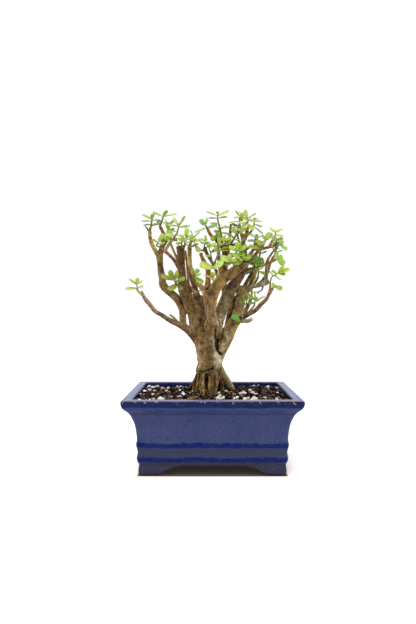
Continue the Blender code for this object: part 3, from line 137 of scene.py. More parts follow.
# Wood: each branch is a route of points (x, y, z, radius)
WOOD = {
    "trunk": [
        (-4, 0, 104, 12.3), (-4, 0, 109, 16.3), (-3, 0, 117, 15.4), (-3, 0, 127, 16.3),
        (-6, -1, 137, 14.1), (-9, -1, 148, 13.8), (-12, -1, 157, 11.7),
    ],
    "limb_left": [
        (-12, -1, 151, 11.7), (-17, 0, 166, 10.8), (-20, 2, 180, 10.2), (-27, 3, 192, 9.3),
        (-32, 3, 202, 7.7), (-36, 2, 212, 6.4), (-37, 1, 224, 5.4), (-38, 0, 239, 5), (-38, 0, 251, 5),
        (-39, 0, 263, 5.4),
    ],
    "stub_behind": [(-13, 5, 166, 9.5), (-16, 7, 178, 9.8), (-17.5, 9, 190, 8.9), (-19, 10, 202, 8)],
    "limb_far_left": [
        (-35, -6, 164, 4.3), (-36, -1, 175, 4.3), (-37, 4, 186, 4.5), (-43, 7, 198, 5),
        (-53, 9, 207, 4.9), (-61, 8, 216, 5.2), (-62, 8, 226, 4.2), (-64, 7, 237, 3.7),
        (-65, 6, 248, 4.2), (-66, 6, 256, 4.5),
    ],
    "far_left_outer": [
        (-67, 6, 252, 3.1), (-71, 5, 259, 2.6), (-75, 5, 267, 2.6), (-77, 4, 276, 2.6),
        (-77, 4, 282, 2.4),
    ],
    "far_left_dead_tip": [(-76, 5, 275, 1.6), (-79, 8, 283, 1.1), (-83, 9, 289, 0.7)],
    "far_left_stub": [(-64, 6, 254, 3.7), (-62, 6, 263, 3.1), (-60, 6, 272, 3), (-59, 6, 277, 3.1)],
    "far_left_inner": [(-60, 6, 274, 2.2), (-61, 5, 281, 2.1), (-64, 5, 287, 2.2)],
    "cross_twig": [
        (-41, 0, 237, 2.8), (-46, -7, 245, 2.2), (-52, -13, 251, 2.2), (-57, -18, 255, 2),
        (-62, -20, 259, 1.1), (-65, -21, 260, 1),
    ],
    "cross_twig_riser": [(-56, -17, 255, 1.9), (-52, -19, 262, 2), (-47, -21, 268, 1.8)],
    "left_side_twig": [(-41, 1, 244, 1.8), (-46, 2, 254, 1.5), (-49, 3, 261, 1.5), (-51, 3, 266, 1.4)],
    "orange_twig": [
        (-16, 2, 203, 2.8), (-24, 4, 209, 2.2), (-29, 6, 217, 1.9), (-30, 7, 228, 1.6),
        (-31, 7, 239, 1.5), (-32, 7, 250, 1.4), (-33, 7, 259, 1.2),
    ],
    "tan_stub": [
        (-7, -10, 206, 3.9), (-14, -12, 213, 3), (-19, -14, 220, 2.8), (-23, -16, 228, 2.3),
        (-26, -18, 237, 2.4), (-27, -19, 249, 2.7), (-27, -19, 260, 3),
    ],
    "limb_middle": [
        (-6, -3, 150, 12.2), (-1, -7, 164, 9.7), (-1, -9, 176, 7), (-2, -10, 187, 7), (-2, -11, 196, 8.2),
        (-4, -12, 209, 9),
    ],
    "limb_diagonal": [
        (-1, -12, 200, 7.8), (5, -14, 212, 7.2), (14, -16, 222, 6.6), (24, -17, 229, 6),
        (33, -18, 236, 5.4), (43, -18, 243, 4.5),
    ],
    "diagonal_end": [
        (40, -19, 240, 3), (47, -23, 245, 2.6), (52, -27, 251, 2.1), (55, -30, 255, 2),
        (58, -32, 258, 1.6),
    ],
    "orange_side_twig": [
        (56, -30, 255, 1.8), (64, -33, 257, 1.7), (70, -35, 258, 1.5), (74, -36, 260, 1.1),
        (77, -36, 263, 0.7),
    ],
    "side_twig_riser": [(66, -33.5, 258, 1.5), (69, -35, 264, 1.3), (72, -36, 269, 1.3)],
    "red_stub": [
        (-6, -9, 206, 4.2), (-5, -7, 221, 3.4), (-5, -6, 233, 3.2), (-9, -6, 242, 2.8),
        (-12, -6, 248, 2.4), (-14, -6, 254, 2.3),
    ],
    "front_spur": [(8, -17, 221, 2.4), (5, -26, 229, 1.9), (1, -32, 237, 1.7)],
    "front_stub": [(2, -31.5, 236, 1.7), (-3, -34, 244, 2), (-7, -36, 251, 2.2), (-9, -37, 257, 2.5)],
    "front_stub_side": [(-8, -36, 252, 1.2), (-14, -38, 254, 0.9), (-18, -39, 257, 0.8)],
    "upright_stub": [
        (13, -12, 222, 5.7), (14, -8, 235, 5.2), (16, -5, 248, 4.3), (16, -4, 257, 3.9),
        (16, -4, 264, 3.9),
    ],
    "upright_stub_riser": [(13, -4, 259, 1.7), (12, -4, 269, 1.5), (11, -4, 276, 1.3)],
    "upright_stub_left": [(13, -5, 259, 2.2), (6, -12, 268, 2.2), (-1, -18, 273, 2), (-5, -22, 279, 2)],
    "top_right_twig": [
        (32, -15, 235, 3), (34, -21, 251, 2.8), (36, -26, 263, 2.7), (39, -30, 270, 2.6),
        (41, -32, 277, 2.3),
    ],
    "top_rear_twig": [(35, 4, 225, 2.5), (34, 4, 244, 2.2), (37, 4, 266, 2), (40, 4, 279, 1.9)],
    "top_right_side": [(38, -27, 268, 1.5), (45, -22, 276, 1.4), (49, -19, 282, 1.4)],
    "top_middle_side": [(34, -24, 259, 1.5), (31, -14, 271, 1.3), (31, -9, 281, 1.3)],
    "black_tip_twig": [
        (17, -4, 246, 2.1), (20, 2, 264, 1.8), (22, 3, 276, 1.9), (23, 3, 286, 1.8), (23, 3, 291, 1.1),
    ],
    "red_rear_twig": [
        (40, 7, 234, 2.7), (48, 9, 252, 2.2), (53, 9, 264, 2.1), (55, 9, 272, 2.3), (56, 9, 279, 2.3),
    ],
    "fine_cross_twig": [
        (34, -21, 251, 1.5), (42, -14, 258, 1.6), (48, -8, 262, 1.3), (54, -4, 264, 1.2),
    ],
    "fine_front_twig": [
        (39, -19, 242, 1.8), (44, -27, 251, 1.1), (48, -33, 254, 0.9), (52, -36, 254, 0.9),
    ],
    "limb_behind": [
        (3, 0, 150, 8.6), (8, 2, 170, 6.5), (11, 3, 182, 7.4), (16, 4, 194, 7.7), (21, 5, 205, 7.6),
        (27, 6, 216, 6.8), (34, 6, 226, 5.9), (39, 6, 234, 4.7), (42, 7, 241, 3.7),
    ],
    "limb_right": [
        (1, 0, 122, 12.3), (9, 3, 135, 9.3), (15, 5, 146, 9.3), (20, 7, 156, 9), (25, 9, 165, 8.1),
        (30, 10, 174, 7.5), (33, 11, 185, 7.1), (35, 11, 196, 6.8), (37, 11, 206, 6.9),
        (39, 10, 213, 5.9),
    ],
    "limb_thin": [
        (18, 12, 156, 3.8), (20, 12, 171, 3.3), (22, 12, 182, 2.9), (25, 11, 192, 2.7), (28, 9, 202, 2.7),
    ],
    "knob_branch": [
        (35, 10, 210, 5.6), (44, 8, 212, 3.1), (52, 6, 214, 2.6), (60, 4, 216, 3), (67, 3, 219, 3.7),
        (70, 3, 221, 3.5),
    ],
    "knob_riser": [
        (67, 3, 218, 2.5), (67, 2, 228, 2.1), (67, 1, 237, 2), (68, 0, 245, 1.8), (72, -1, 252, 1.4),
        (77, -2, 259, 1.2), (80, -2, 262, 1.1),
    ],
    "red_side_branch": [
        (39, 1, 233, 2.5), (47, -7, 235, 1.5), (54, -12, 236, 1.3), (61, -17, 238, 1.4),
        (68, -20, 241, 1.8), (75, -22, 244, 1.9),
    ],
    "right_rear_twig": [(39, 14, 210, 3.1), (44, 16, 220, 2.5), (48, 17, 227, 2.3), (51, 18, 233, 2)],
    "knob_fine_twig": [(47, 7, 213, 2.1), (53, 8, 218, 1.4), (57, 9, 224, 1.2), (58, 10, 230, 1)],
    "dead_twig": [(63, 3, 215, 1.2), (62, 3, 210, 0.8), (58, 2, 207, 0.7), (56, 1, 204, 0.6)],
    "low_right_branch": [
        (30, 9, 171, 4.4), (38, 6, 175, 3.1), (45, 2, 179, 2.8), (53, -3, 184, 2.7), (59, -8, 191, 2.6),
        (64, -12, 196, 2.4), (67, -15, 201, 2.1), (69, -18, 208, 1.9), (69, -20, 213, 1.4),
    ],
    "low_right_fork": [(69, -17, 204, 1.7), (72, -20, 210, 1.5)],
    "low_right_riser": [(43, 3, 178, 1.9), (48, 0, 185, 1.4), (51, -2, 189, 1.2)],
    "pink_stub": [(32, 6, 171, 3.1), (38, 1, 171, 2.5), (44, -4, 171, 2.4), (49, -7, 174, 2.2)],
    "low_left_branch": [
        (-15, 1, 145, 7.4), (-23, 0, 154, 6.2), (-29, -3, 160, 5.2), (-37, -8, 165, 4.3),
        (-44, -13, 169, 3.6), (-52, -18, 173, 2.9), (-59, -23, 178, 2.7), (-67, -28, 183, 2.5),
        (-72, -33, 190, 2.6), (-76, -36, 195, 2.7), (-79, -39, 200, 2.1), (-81, -41, 206, 1.4),
    ],
    "low_left_side": [(-39, -9.5, 166, 1.8), (-45, -12, 174, 1.4), (-51, -14, 179, 1.1)],
    "low_left_end": [(-78, -38, 199, 1.5), (-82, -42, 203, 1.3), (-85, -43, 206, 1.1)],
    "back_far_left": [
        (-61, 9, 218, 3.7), (-66, 20, 232, 2.9), (-67, 30, 250, 2.5), (-64, 38, 266, 2.2),
        (-58, 42, 278, 2),
    ],
    "back_low_left": [
        (-36, 4, 212, 4.6), (-38, 18, 220, 3), (-38, 32, 230, 2.4), (-37, 42, 238, 2.1),
        (-37, 45, 246, 2),
    ],
    "back_left": [
        (-19, 10, 197, 5.6), (-21, 17, 211, 3.5), (-27, 23, 229, 2.9), (-29, 27, 246, 2.4),
        (-28, 29, 259, 2.1),
    ],
    "back_low_middle": [
        (-4, 4, 135, 7.4), (-8, 24, 150, 4.5), (-14, 38, 170, 3.3), (-19, 47, 189, 2.7),
        (-21, 50, 201, 2.1),
    ],
    "back_middle": [
        (19, 5, 199, 6.2), (15, 22, 218, 3.8), (11, 34, 239, 3), (9, 42, 258, 2.5), (8, 45, 271, 2.1),
    ],
    "back_top": [(39, 6, 234, 4.4), (42, 13, 251, 2.9), (40, 19, 270, 2.4), (37, 23, 284, 2)],
    "back_right": [
        (35, 11, 196, 6.3), (45, 22, 209, 3.3), (53, 30, 225, 2.6), (59, 35, 241, 2.3),
        (62, 38, 253, 2.1),
    ],
    "back_low_right": [
        (25, 9, 166, 6.2), (35, 28, 173, 3.9), (44, 42, 183, 3), (50, 50, 194, 2.5), (53, 53, 202, 2.1),
    ],
    "back_far_right": [
        (56, 6, 215, 2.6), (63, 11, 221, 2.3), (70, 18, 231, 2.1), (74, 25, 243, 2), (80, 28, 254, 1.9),
    ],
}

# Roots, the same way, down to the soil
ROOTS = {
    "far_left": [(-15, 6, 105, 4.4), (-22, 12, 95, 2.5), (-27, 17, 88, 1.6), (-32, 22, 81, 1.3)],
    "left": [(-15, 3, 107, 4.9), (-20, 6, 99, 2.6), (-22, 9, 90, 2.1), (-23, 11, 80, 1.9)],
    "left_front": [(-12, -4, 107, 4.9), (-16, -6, 100, 2.3), (-18, -6, 91, 2.3), (-19, -4, 81, 2)],
    "front": [
        (-6, -8, 109, 5.5), (-11, -14, 104, 3), (-13, -19, 96, 2.9), (-12, -24, 88, 2.7),
        (-8, -28, 80, 2.2),
    ],
    "front_side": [(-10, -20, 96, 1.8), (-7, -25, 87, 1.5), (-1, -30, 80, 1.4)],
    "broad": [(1, -8, 110, 6.7), (1, -13, 101, 5.1), (0, -19, 91, 4.5), (1, -24, 81, 2.7)],
    "broad_side": [(7, -8, 112, 4.3), (7, -12, 102, 2.4), (4, -18, 91, 2.1), (3, -22, 82, 1.8)],
    "thin": [(9, -4, 110, 3.7), (10, -8, 101, 1.6), (13, -9, 90, 1.5), (14, -7, 80, 1.3)],
    "right": [(6, 2, 113, 8), (14, 4, 103, 5), (21, 8, 92, 4.4), (26, 12, 84, 3.8), (30, 15, 80, 3.2)],
    "middle": [(-4, 2, 108, 9), (-4, 2, 98, 7.5), (-3, 3, 88, 7.5), (-3, 3, 80, 8)],
    "back": [(4, 9, 110, 7), (8, 14, 98, 5.2), (10, 20, 88, 4), (11, 26, 80, 3)],
    "back_left": [(-11, 9, 109, 5), (-14, 17, 98, 3), (-16, 25, 89, 2.4), (-19, 32, 80, 2)],
}

# Leafy stems: the stem's route (x, y, z, radius), then its leaves, each as the place along
# the stem where it grows, its tip (x, y, z) and its width. A stem with no leaves listed gets
# crosswise pairs all along.
SHOOTS = [
    ([(-77, 4, 283, 1.7), (-75, 3, 291, 1.2), (-74, 2, 298, 0.9)], [
        (1, -87, 3, 303, 7.5), (0.75, -87, -2, 294, 6.5), (0.5, -86, 6, 290, 6), (0.8, -64, 0, 296, 7.5),
        (1, -72, -6, 302, 6), (0.35, -67, 6, 290, 6.5),
    ]),
    ([(-64, 5, 288, 1.6), (-62, 4, 295, 1.2), (-60, 3, 301, 1)], [
        (1, -74, 2, 306, 8), (1, -55, -2, 307, 6.5), (0.95, -43, 1, 304, 8), (0.3, -74, 7, 288, 6.5),
        (0.35, -52, 1, 292, 6.5), (0.6, -70, 0, 296, 6),
    ]),
    ([(-46, -21, 269, 1.5), (-42, -22, 275, 1.2), (-40, -23, 281, 1), (-39, -23, 285, 0.8)], [
        (1, -46, -28, 293, 9), (1, -31, -28, 295, 9.5), (0.9, -52, -26, 285, 7),
        (0.85, -26, -25, 283, 8.5), (0.55, -51, -20, 278, 7), (0.25, -54, -27, 273, 6.5),
        (0.3, -33, -28, 271, 7),
    ]),
    ([(-34, -2, 264, 1), (-32, -3, 270, 0.9), (-32, -5, 275, 0.7)], [
        (1, -30, -7, 284, 9.5), (0.8, -23, -2, 276, 6.5), (0.5, -38, 3, 273, 6),
    ]),
    ([(-37, -6, 263, 1), (-37, -8.5, 266, 0.9), (-36, -10.5, 268, 0.7)], [
        (1, -41, -12, 271, 7), (0.5, -44, -9, 265, 6), (1, -30, -13, 269, 6),
    ]),
    ([(-26, -19, 261, 1.2), (-26, -20, 266, 1), (-25, -20, 269, 0.7)], [
        (1, -29, -25, 273, 7), (0.8, -19, -22, 269, 5.5), (0.4, -31, -26, 265, 5.5),
    ]),
    ([(-51, 3, 266, 1.1), (-51, 2, 272, 0.9), (-50, 1, 276, 0.7)], [
        (1, -55, 5, 284, 7.5), (0.6, -60, 0, 274, 7.5), (0.5, -43, 7, 272, 6.5),
    ]),
    ([(-66, -21, 260, 0.9), (-65, -22, 263, 0.8), (-63, -23, 266, 0.7)], [
        (1, -57, -27, 274, 5.5), (0.7, -71, -24, 268, 6.5), (0.4, -56, -26, 263, 5.5),
    ]),
    ([(-19, -39, 257, 0.7), (-20, -40, 261, 0.7), (-21, -41, 264, 0.6)], [
        (0.9, -10, -43, 265, 6), (1, -27, -45, 266, 5.5), (0.15, -14, -46, 250, 5.5),
    ]),
    ([(-9, -37, 258, 0.9), (-8, -38, 261, 0.7), (-8, -39, 263, 0.6)], [
        (1, -8, -42, 270, 6), (0.5, -2, -37, 262, 6), (0.5, -15, -35, 260, 5.5),
    ]),
    ([(0, -35.5, 239, 0.9), (-1, -38, 245, 0.8), (-3, -40, 253, 0.7), (-4, -41, 258, 0.6)], [
        (1, 2, -41.5, 265, 7), (0.85, -10, -40.5, 256, 6), (0.6, 5, -43.5, 252, 7),
        (0.45, -10, -40.5, 247, 5.5),
    ]),
    ([(3, -30, 240, 1.1), (6, -28, 248, 0.9), (8, -25, 255, 0.8), (9, -22, 262, 0.7)], [
        (0.65, 21, -25, 255, 7), (1, 6, -20, 271, 7), (0.95, 17, -25, 265, 6.5), (0.4, 15, -22, 247, 5.5),
    ]),
    ([(4, -31, 231, 0.9), (1, -36, 233, 0.8)], [
        (0.9, -15, -40, 237, 9.5), (0.9, 12, -39, 243, 9.5),
    ]),
    ([(-5, -22, 280, 1.3), (-7, -24, 283, 1.1), (-9, -25, 285, 0.8)], [
        (1, -15, -26, 291, 7), (1, -5, -26, 293, 6.5), (0.3, 6, -28, 284, 10), (0.4, -21, -27, 275, 8),
        (0.1, -13, -20, 272, 7),
    ]),
    ([(11, -4, 277, 1.3), (9, -4, 286, 1.2), (7, -4, 294, 1), (7, -4, 302, 0.9)], [
        (1, -8, -5, 305, 7.5), (1, 21, -5, 306, 8), (0.8, -4, -8, 296, 6.5), (0.8, 19, -1, 299, 6.5),
        (0.55, -3, -2, 291, 6.5), (0.35, 22, -7, 285, 8), (0.12, 21, -8, 276, 7.5),
    ]),
    ([(5, -16, 268, 1), (5, -20, 271, 0.8)], [
        (0.9, -3, -23, 268, 7), (1, 9, -22, 276, 6.5),
    ]),
    ([(18, -6, 264, 1.1), (18, -11, 267, 0.9), (18, -15, 268, 0.7)], [
        (1, 24, -17, 270, 8.5), (1, 11, -18, 270, 6.5), (0.3, 24, -5, 263, 6),
    ]),
    ([(20, -8, 256, 1.5), (23, -14, 264, 1.3), (28, -19, 273, 1.1), (31, -22, 277, 0.8)], [
        (1, 45, -24, 285, 11.5), (1, 23, -21, 281, 7), (0.6, 38, -27, 268, 7), (0.6, 19, -26, 273, 7),
        (0.25, 16, -27, 258, 6.5), (0.3, 30, -18, 263, 6.5),
    ]),
    ([(41, -32, 278, 1.4), (41, -33, 282, 1.2), (41, -34, 288, 1), (40, -34, 292, 0.8)], [
        (1, 37, -38, 300, 7.5), (1, 51, -38, 296, 7), (0.7, 59, -33, 288, 8.5), (0.7, 30, -38, 285, 7),
        (0.35, 49, -38, 278, 7), (0.5, 36, -40, 279, 7),
    ]),
    ([(31, -9, 282, 1.2), (33, -9, 289, 1.1), (34, -9, 296, 1), (35, -9, 300, 0.8)], [
        (1, 26, -14, 295, 8.5), (0.75, 49, -5, 296, 8), (0.55, 19, -9, 291, 8), (0.5, 42, -3, 289, 7.5),
        (0.2, 23, -11, 283, 6.5), (1, 41, -9, 304, 7),
    ]),
    ([(49, -19, 284, 1), (50, -18, 288, 0.8), (51, -18, 291, 0.7)], [
        (0.5, 59, -21, 283, 8), (0.1, 61, -18, 275, 8), (1, 53, -18, 294, 7),
    ]),
    ([(55, -2, 264, 1), (56, -1, 269, 0.9), (55, 0, 273, 0.7)], [
        (0.6, 43, 3, 270, 9), (1, 44, -2, 280, 9), (1, 63, 3, 278, 7.5), (0.5, 63, -4, 268, 6.5),
    ]),
    ([(30, -23, 241, 1.3), (28, -27, 247, 1.1), (28, -31, 251, 0.9), (29, -34, 254, 0.8)], [
        (1, 41, -36, 259, 8.5), (1, 19, -36, 258, 7.5), (0.8, 27, -42, 244, 8), (1, 30, -38, 263, 7),
        (0.5, 19, -31, 249, 7), (0.55, 39, -32, 250, 7),
    ]),
    ([(26, -23, 237, 1.1), (23, -30, 240, 0.9), (22, -35, 242, 0.7)], [
        (1, 9, -38, 245, 7.5), (0.6, 15, -32, 237, 6.5), (1, 28, -41, 242, 6), (1, 21, -40, 249, 6),
    ]),
    ([(35, -23, 241, 1.1), (35, -28, 244, 0.9), (36, -32, 246, 0.7)], [
        (1, 35, -36, 255, 7), (0.9, 46, -33, 247, 7.5), (0.3, 27, -30, 238, 5.5),
        (0.9, 29, -24, 245, 5.5),
    ]),
    ([(52, -36, 254, 0.9), (55, -38, 256, 0.7), (56, -39, 259, 0.6)], [
        (0.4, 41, -33, 256, 7.5), (1, 64, -33, 261, 7), (1, 52, -34, 266, 7),
    ]),
    ([(51, -12, 237, 1.1), (51, -15, 239, 0.9), (52, -17, 241, 0.7)], [
        (1, 62, -20, 243, 11.5), (1, 42, -20, 243, 8), (1, 51, -21, 250, 6.5),
    ]),
    ([(59, -32, 259, 1.3), (61, -34, 263, 1), (62, -35, 266, 0.8)], [
        (0.6, 71, -39, 259, 11), (1, 68, -36, 274, 8.5), (1, 57, -37, 271, 7), (0.5, 53, -38, 263, 6),
    ]),
    ([(73, -36, 270, 1.1), (73, -37, 272, 0.9), (73, -37, 274, 0.7)], [
        (1, 66, -38, 279, 7.5), (1, 81, -35, 279, 7.5), (0.4, 82, -39, 268, 7), (0.3, 65, -34, 270, 6.5),
    ]),
    ([(74, -36, 262, 0.9), (74, -37, 264, 0.8), (74, -38, 265, 0.6)], [
        (1, 68, -43, 268, 7.5), (0.9, 81, -41, 265, 6),
    ]),
    ([(76, -22, 244, 1.3), (77, -23, 244, 1), (78, -23, 243, 0.7)], [
        (1, 86, -23, 239, 7), (0.6, 75, -27, 252, 8), (1, 84, -20, 249, 7), (0.3, 72, -27, 236, 5.5),
    ]),
    ([(81, -2, 263, 1), (82, -2, 264, 0.8), (84, -2, 264, 0.6)], [
        (1, 92, -3, 258, 8), (0.8, 84, -4, 271, 6.5),
    ]),
    ([
        (69, -20, 214, 1.1), (69, -22, 219, 0.9), (71, -23, 224, 0.8), (75, -24, 226, 0.8),
        (79, -25, 229, 0.7),
    ], [
        (1, 91, -27, 233, 6.5), (1, 83, -31, 237, 5.5), (0.85, 70, -25, 231, 5.5), (1, 87, -22, 227, 5.5),
    ]),
    ([(72, -20, 210, 1.2), (74, -22, 212, 1), (75, -23, 212, 0.7)], [
        (1, 83, -24, 209, 6), (1, 70, -27, 215, 5),
    ]),
    ([(58, 10, 231, 0.9), (58, 9, 233, 0.8), (58, 8, 235, 0.6)], [
        (1, 65, 4, 239, 8), (0.5, 68, 11, 226, 7.5), (1, 51, 6, 240, 7.5),
    ]),
    ([(51, 18, 234, 1.5), (52, 18, 238, 1.1), (52, 17, 242, 0.8)], [
        (0.3, 40, 13, 230, 9), (0.2, 59, 13, 227, 9), (1, 53, 15, 251, 7.5), (1, 44, 20, 248, 7.5),
        (0.8, 61, 20, 241, 7.5),
    ]),
    ([(51, -2, 189, 1.1), (52, -4, 193, 1), (53, -6, 197, 0.8)], [
        (0.95, 42, -6, 205, 7.5), (1, 51, -12, 207, 7), (1, 65, -7, 201, 7.5), (0.7, 59, -11, 193, 6.5),
        (0.5, 44, -8, 193, 6),
    ]),
    ([(43, 1, 181, 0.9), (42, -2, 188, 0.8), (42, -4, 194, 0.7), (43, -6, 198, 0.6)], [
        (1, 37, -9, 202, 7), (1, 46, -12, 203, 6.5), (0.6, 36, -10, 191, 5.5),
    ]),
    ([(35, -3, 171, 0.9), (33, -6, 172, 0.7)], [
        (1, 24, -7, 178, 6.5),
    ]),
    ([(-85, -43, 206, 1), (-85, -44, 209, 0.9), (-86, -45, 212, 0.8), (-86, -45, 214, 0.6)], [
        (0.35, -99, -47, 209, 6), (1, -95, -46, 220, 5.5), (1, -85, -48, 221, 5),
        (0.9, -79, -46, 218, 5.5), (0.5, -78, -47, 211, 4.5),
    ]),
    ([(-41, -5, 214, 1.3), (-44, -14, 217, 1.1), (-45, -19, 221, 0.8)], [
        (1, -61, -22, 225, 6.5), (1, -51, -29, 230, 8), (1, -40, -27, 230, 7.5),
        (0.7, -32, -20, 223, 6.5), (0.45, -50, -26, 207, 9.5), (0.2, -36, -20, 209, 5.5),
    ]),
    ([(-21, -18, 222, 1), (-20, -20.5, 225, 0.8), (-20, -22, 228, 0.7)], [
        (0.6, -14, -27, 226, 6.5), (1, -25, -25, 234, 6.5), (1, -16, -22, 233, 5.5),
        (0.3, -11, -28, 216, 7),
    ]),
    ([(3, -21, 216, 1), (1, -24, 220, 0.8), (0, -25, 223, 0.6)], [
        (1, -9, -31, 225, 9), (0.7, 3, -33, 221, 6.5), (1, 2, -27, 230, 6.5),
    ]),
    ([(-58, 42.5, 280, 1.3), (-58, 44, 288, 1.1), (-57, 45, 297, 0.9)], []),
    ([(-37, 45.5, 248, 1.3), (-37, 47, 256, 1.1), (-38, 48, 264, 0.9)], []),
    ([(-28, 29.5, 261, 1.3), (-27, 31, 270, 1.1), (-24, 31, 279, 0.8)], []),
    ([(-21, 50.5, 203, 1.3), (-22, 53, 211, 1.1), (-20, 54, 220, 0.9)], []),
    ([(8, 45.5, 273, 1.3), (8, 47, 282, 1.1), (10, 48, 291, 0.9)], []),
    ([(37, 23.5, 286, 1.3), (36, 25, 294, 1.1), (37, 26, 303, 0.8)], []),
    ([(62, 38.5, 254, 1.3), (64, 40, 263, 1.1), (64, 41, 271, 0.9)], []),
    ([(53, 53.5, 204, 1.3), (54, 55, 212, 1.1), (54, 56, 220, 0.9)], []),
    ([(80, 28.5, 256, 1.3), (83, 30, 262, 1.1), (85, 31, 269, 0.8)], []),
]


def unit(vector):
    return vector / np.linalg.norm(vector)


def buried(points, depth):
    """A root's route, carried on down under the soil."""
    x, y, z, radius = points[-1]
    before_x, before_y, before_z, _ = points[-2]
    share = depth / (before_z - z) * ROOT_STRAIGHTENING
    return points + [(x + (x - before_x) * share, y + (y - before_y) * share, z - depth, radius)]


def twig_end(stem):
    """The end and direction of the twig that a stem carries on from, or None."""
    foot = np.array(stem[0][:3], float)
    for points in WOOD.values():
        end = np.array(points[-1][:3], float)
        if np.linalg.norm(end - foot) < TWIG_END_REACH:
            return end, unit(end - np.array(points[-2][:3], float))
    return None


def shoot_nub(stem):
    """The short woody spur that a stem grows from, where it doesn't carry on from a twig."""
    start = np.array(stem[0][:3], float)
    along = unit(np.array(stem[1][:3], float) - start)
    radius = stem[0][3] + NUB_EXTRA
    root = start - along * NUB_LENGTH
    return [(*root, radius * NUB_TAPER), (*start, radius)]


def seated(stem):
    """The stem's route, begun square to its twig's end or its nub, the gap away from it."""
    radius = stem[0][3]
    end = twig_end(stem)
    if end:
        start, along = end
    else:
        start = np.array(stem[0][:3], float)
        along = unit(np.array(stem[1][:3], float) - start)
    first = start + along * GAP
    second = start + along * (GAP + STEM_STRAIGHT)
    return [(*first, radius), (*second, radius)] + list(stem[1:])


def spheres_along(points, spacing=1.2):
    """Balls (x, y, z, radius) that fill a route, for measuring distances to it."""
    balls = []
    for first, second in zip(points, points[1:]):
        first = np.array(first, float)
        second = np.array(second, float)
        count = max(1, int(np.linalg.norm(second[:3] - first[:3]) / spacing))
        for index in range(count + 1):
            balls.append(first + (second - first) * index / count)
    return np.array(balls)


def stem_point(stem, place):
    """Point and direction at a place along the stem, from 0 at its foot to 1 at its tip."""
    points = np.array([point[:3] for point in stem], float)
    lengths = np.linalg.norm(np.diff(points, axis=0), axis=1)
    want = place * lengths.sum()
    for index, length in enumerate(lengths):
        if want <= length or index == len(lengths) - 1:
            break
        want -= length
    along = (points[index + 1] - points[index]) / lengths[index]
    return points[index] + along * want, along


def stem_length(stem):
    points = np.array([point[:3] for point in stem], float)
    return np.linalg.norm(np.diff(points, axis=0), axis=1).sum()


def leaf_half_width(place):
    """Half the width of a leaf, as a share of its greatest half width, from 0 at its foot to 1."""
    return math.sin(math.pi * min(1.0, place ** 1.35 * 0.97 + 0.03)) ** 0.7


class Leaf:
    """One blade: where it sits, how it is turned and how large it is."""

    def __init__(self, base, along, face, length, width):
        self.base = base
        self.along = unit(along)
        face = face - self.along * face.dot(self.along)
        self.face = unit(face)
        self.across = np.cross(self.face, self.along)
        self.length = length
        self.width = width

    def samples(self):
        """Points over the blade, close enough that nothing slips between them."""
        found = []
        for place in SAMPLE_PLACES:
            half = self.width / 2 * leaf_half_width(place)
            for side in SAMPLE_SIDES:
                found.append(self.base + self.along * place * self.length + self.across * half * side)
        return np.array(found)

    def holds(self, points, margin):
        """Whether any of the points lies inside the blade, or within the margin of it."""
        offset = points - (self.base + self.along * self.length / 2)
        size = (
            ((offset @ self.along) / (self.length / 2 + margin)) ** 2
            + ((offset @ self.across) / (self.width / 2 + margin)) ** 2
            + ((offset @ self.face) / (LEAF_THICKNESS / 2 + margin)) ** 2
        )
        return bool((size < 1).any())

    def turned(self, roll, swing, lift, share):
        """The same leaf a little rolled, swung and shortened."""
        across = self.across * math.cos(roll) + self.face * math.sin(roll)
        face = np.cross(self.along, across)
        along = self.along + across * math.tan(swing) + face * math.tan(lift)
        return Leaf(self.base, along, face, self.length * share, self.width * share)


# What is tried, in turn, on a leaf that would touch something: roll, swing, lift and size
LEAF_TRIES = [
    (0, 0, 0, 1.0), (22, 0, 0, 1.0), (-22, 0, 0, 1.0), (0, 0, 14, 0.95), (0, 0, -14, 0.95),
    (0, 13, 0, 0.95), (0, -13, 0, 0.95), (45, 0, 0, 0.92), (-45, 0, 0, 0.92), (0, 0, 28, 0.88),
    (0, 0, -28, 0.88), (0, 26, 0, 0.88), (0, -26, 0, 0.88), (30, 20, 20, 0.82), (-30, -20, 20, 0.82),
    (30, -20, -20, 0.82), (-30, 20, -20, 0.82), (0, 0, 0, 0.72), (70, 0, 0, 0.72), (0, 0, 40, 0.72),
]


def wanted_leaves(stem, marked, chance):
    """The leaves drawn for a stem, then pairs set crosswise where none was drawn."""
    leaves = []
    for place, x, y, z, width in marked:
        base, along = stem_point(stem, min(place, LAST_PLACE))
        reach = np.array((x, y, z), float) - base
        sway = chance.uniform(-FACE_SWAY, FACE_SWAY)
        face = along + np.array((sway, -chance.uniform(*FACE_FORWARD), chance.uniform(*FACE_LIFT)))
        leaves.append(Leaf(base, reach, face, float(np.linalg.norm(reach)), width))
    crossing = chance.uniform(*PAIR_CROSSING)
    places = FULL_PLACES
    if marked:
        places = EXTRA_PLACES if len(marked) < FULL_STEM and stem_length(stem) > LONG_STEM else ()
    for pair, place in enumerate(places):
        base, along = stem_point(stem, place)
        side = unit(np.cross(along, (1.0, 0.1, 0.0)))
        front = np.cross(along, side)
        for half in (0, 180):
            angle = math.radians(crossing + 90 * pair + half + chance.uniform(-PAIR_TURN, PAIR_TURN))
            out = side * math.cos(angle) + front * math.sin(angle)
            closing = PAIR_TIP_CLOSING if place > LAST_PLACE else 0
            spread = math.radians(chance.uniform(*PAIR_SPREAD) - closing)
            reach = along * math.cos(spread) + out * math.sin(spread)
            size = chance.uniform(*PAIR_LEAF_LENGTH)
            face = along * math.sin(spread) - out * math.cos(spread) + np.array((0, 0, PAIR_FACE_LIFT))
            leaves.append(Leaf(base, reach, face, size, size * chance.uniform(*PAIR_LEAF_SHAPE)))
    return leaves


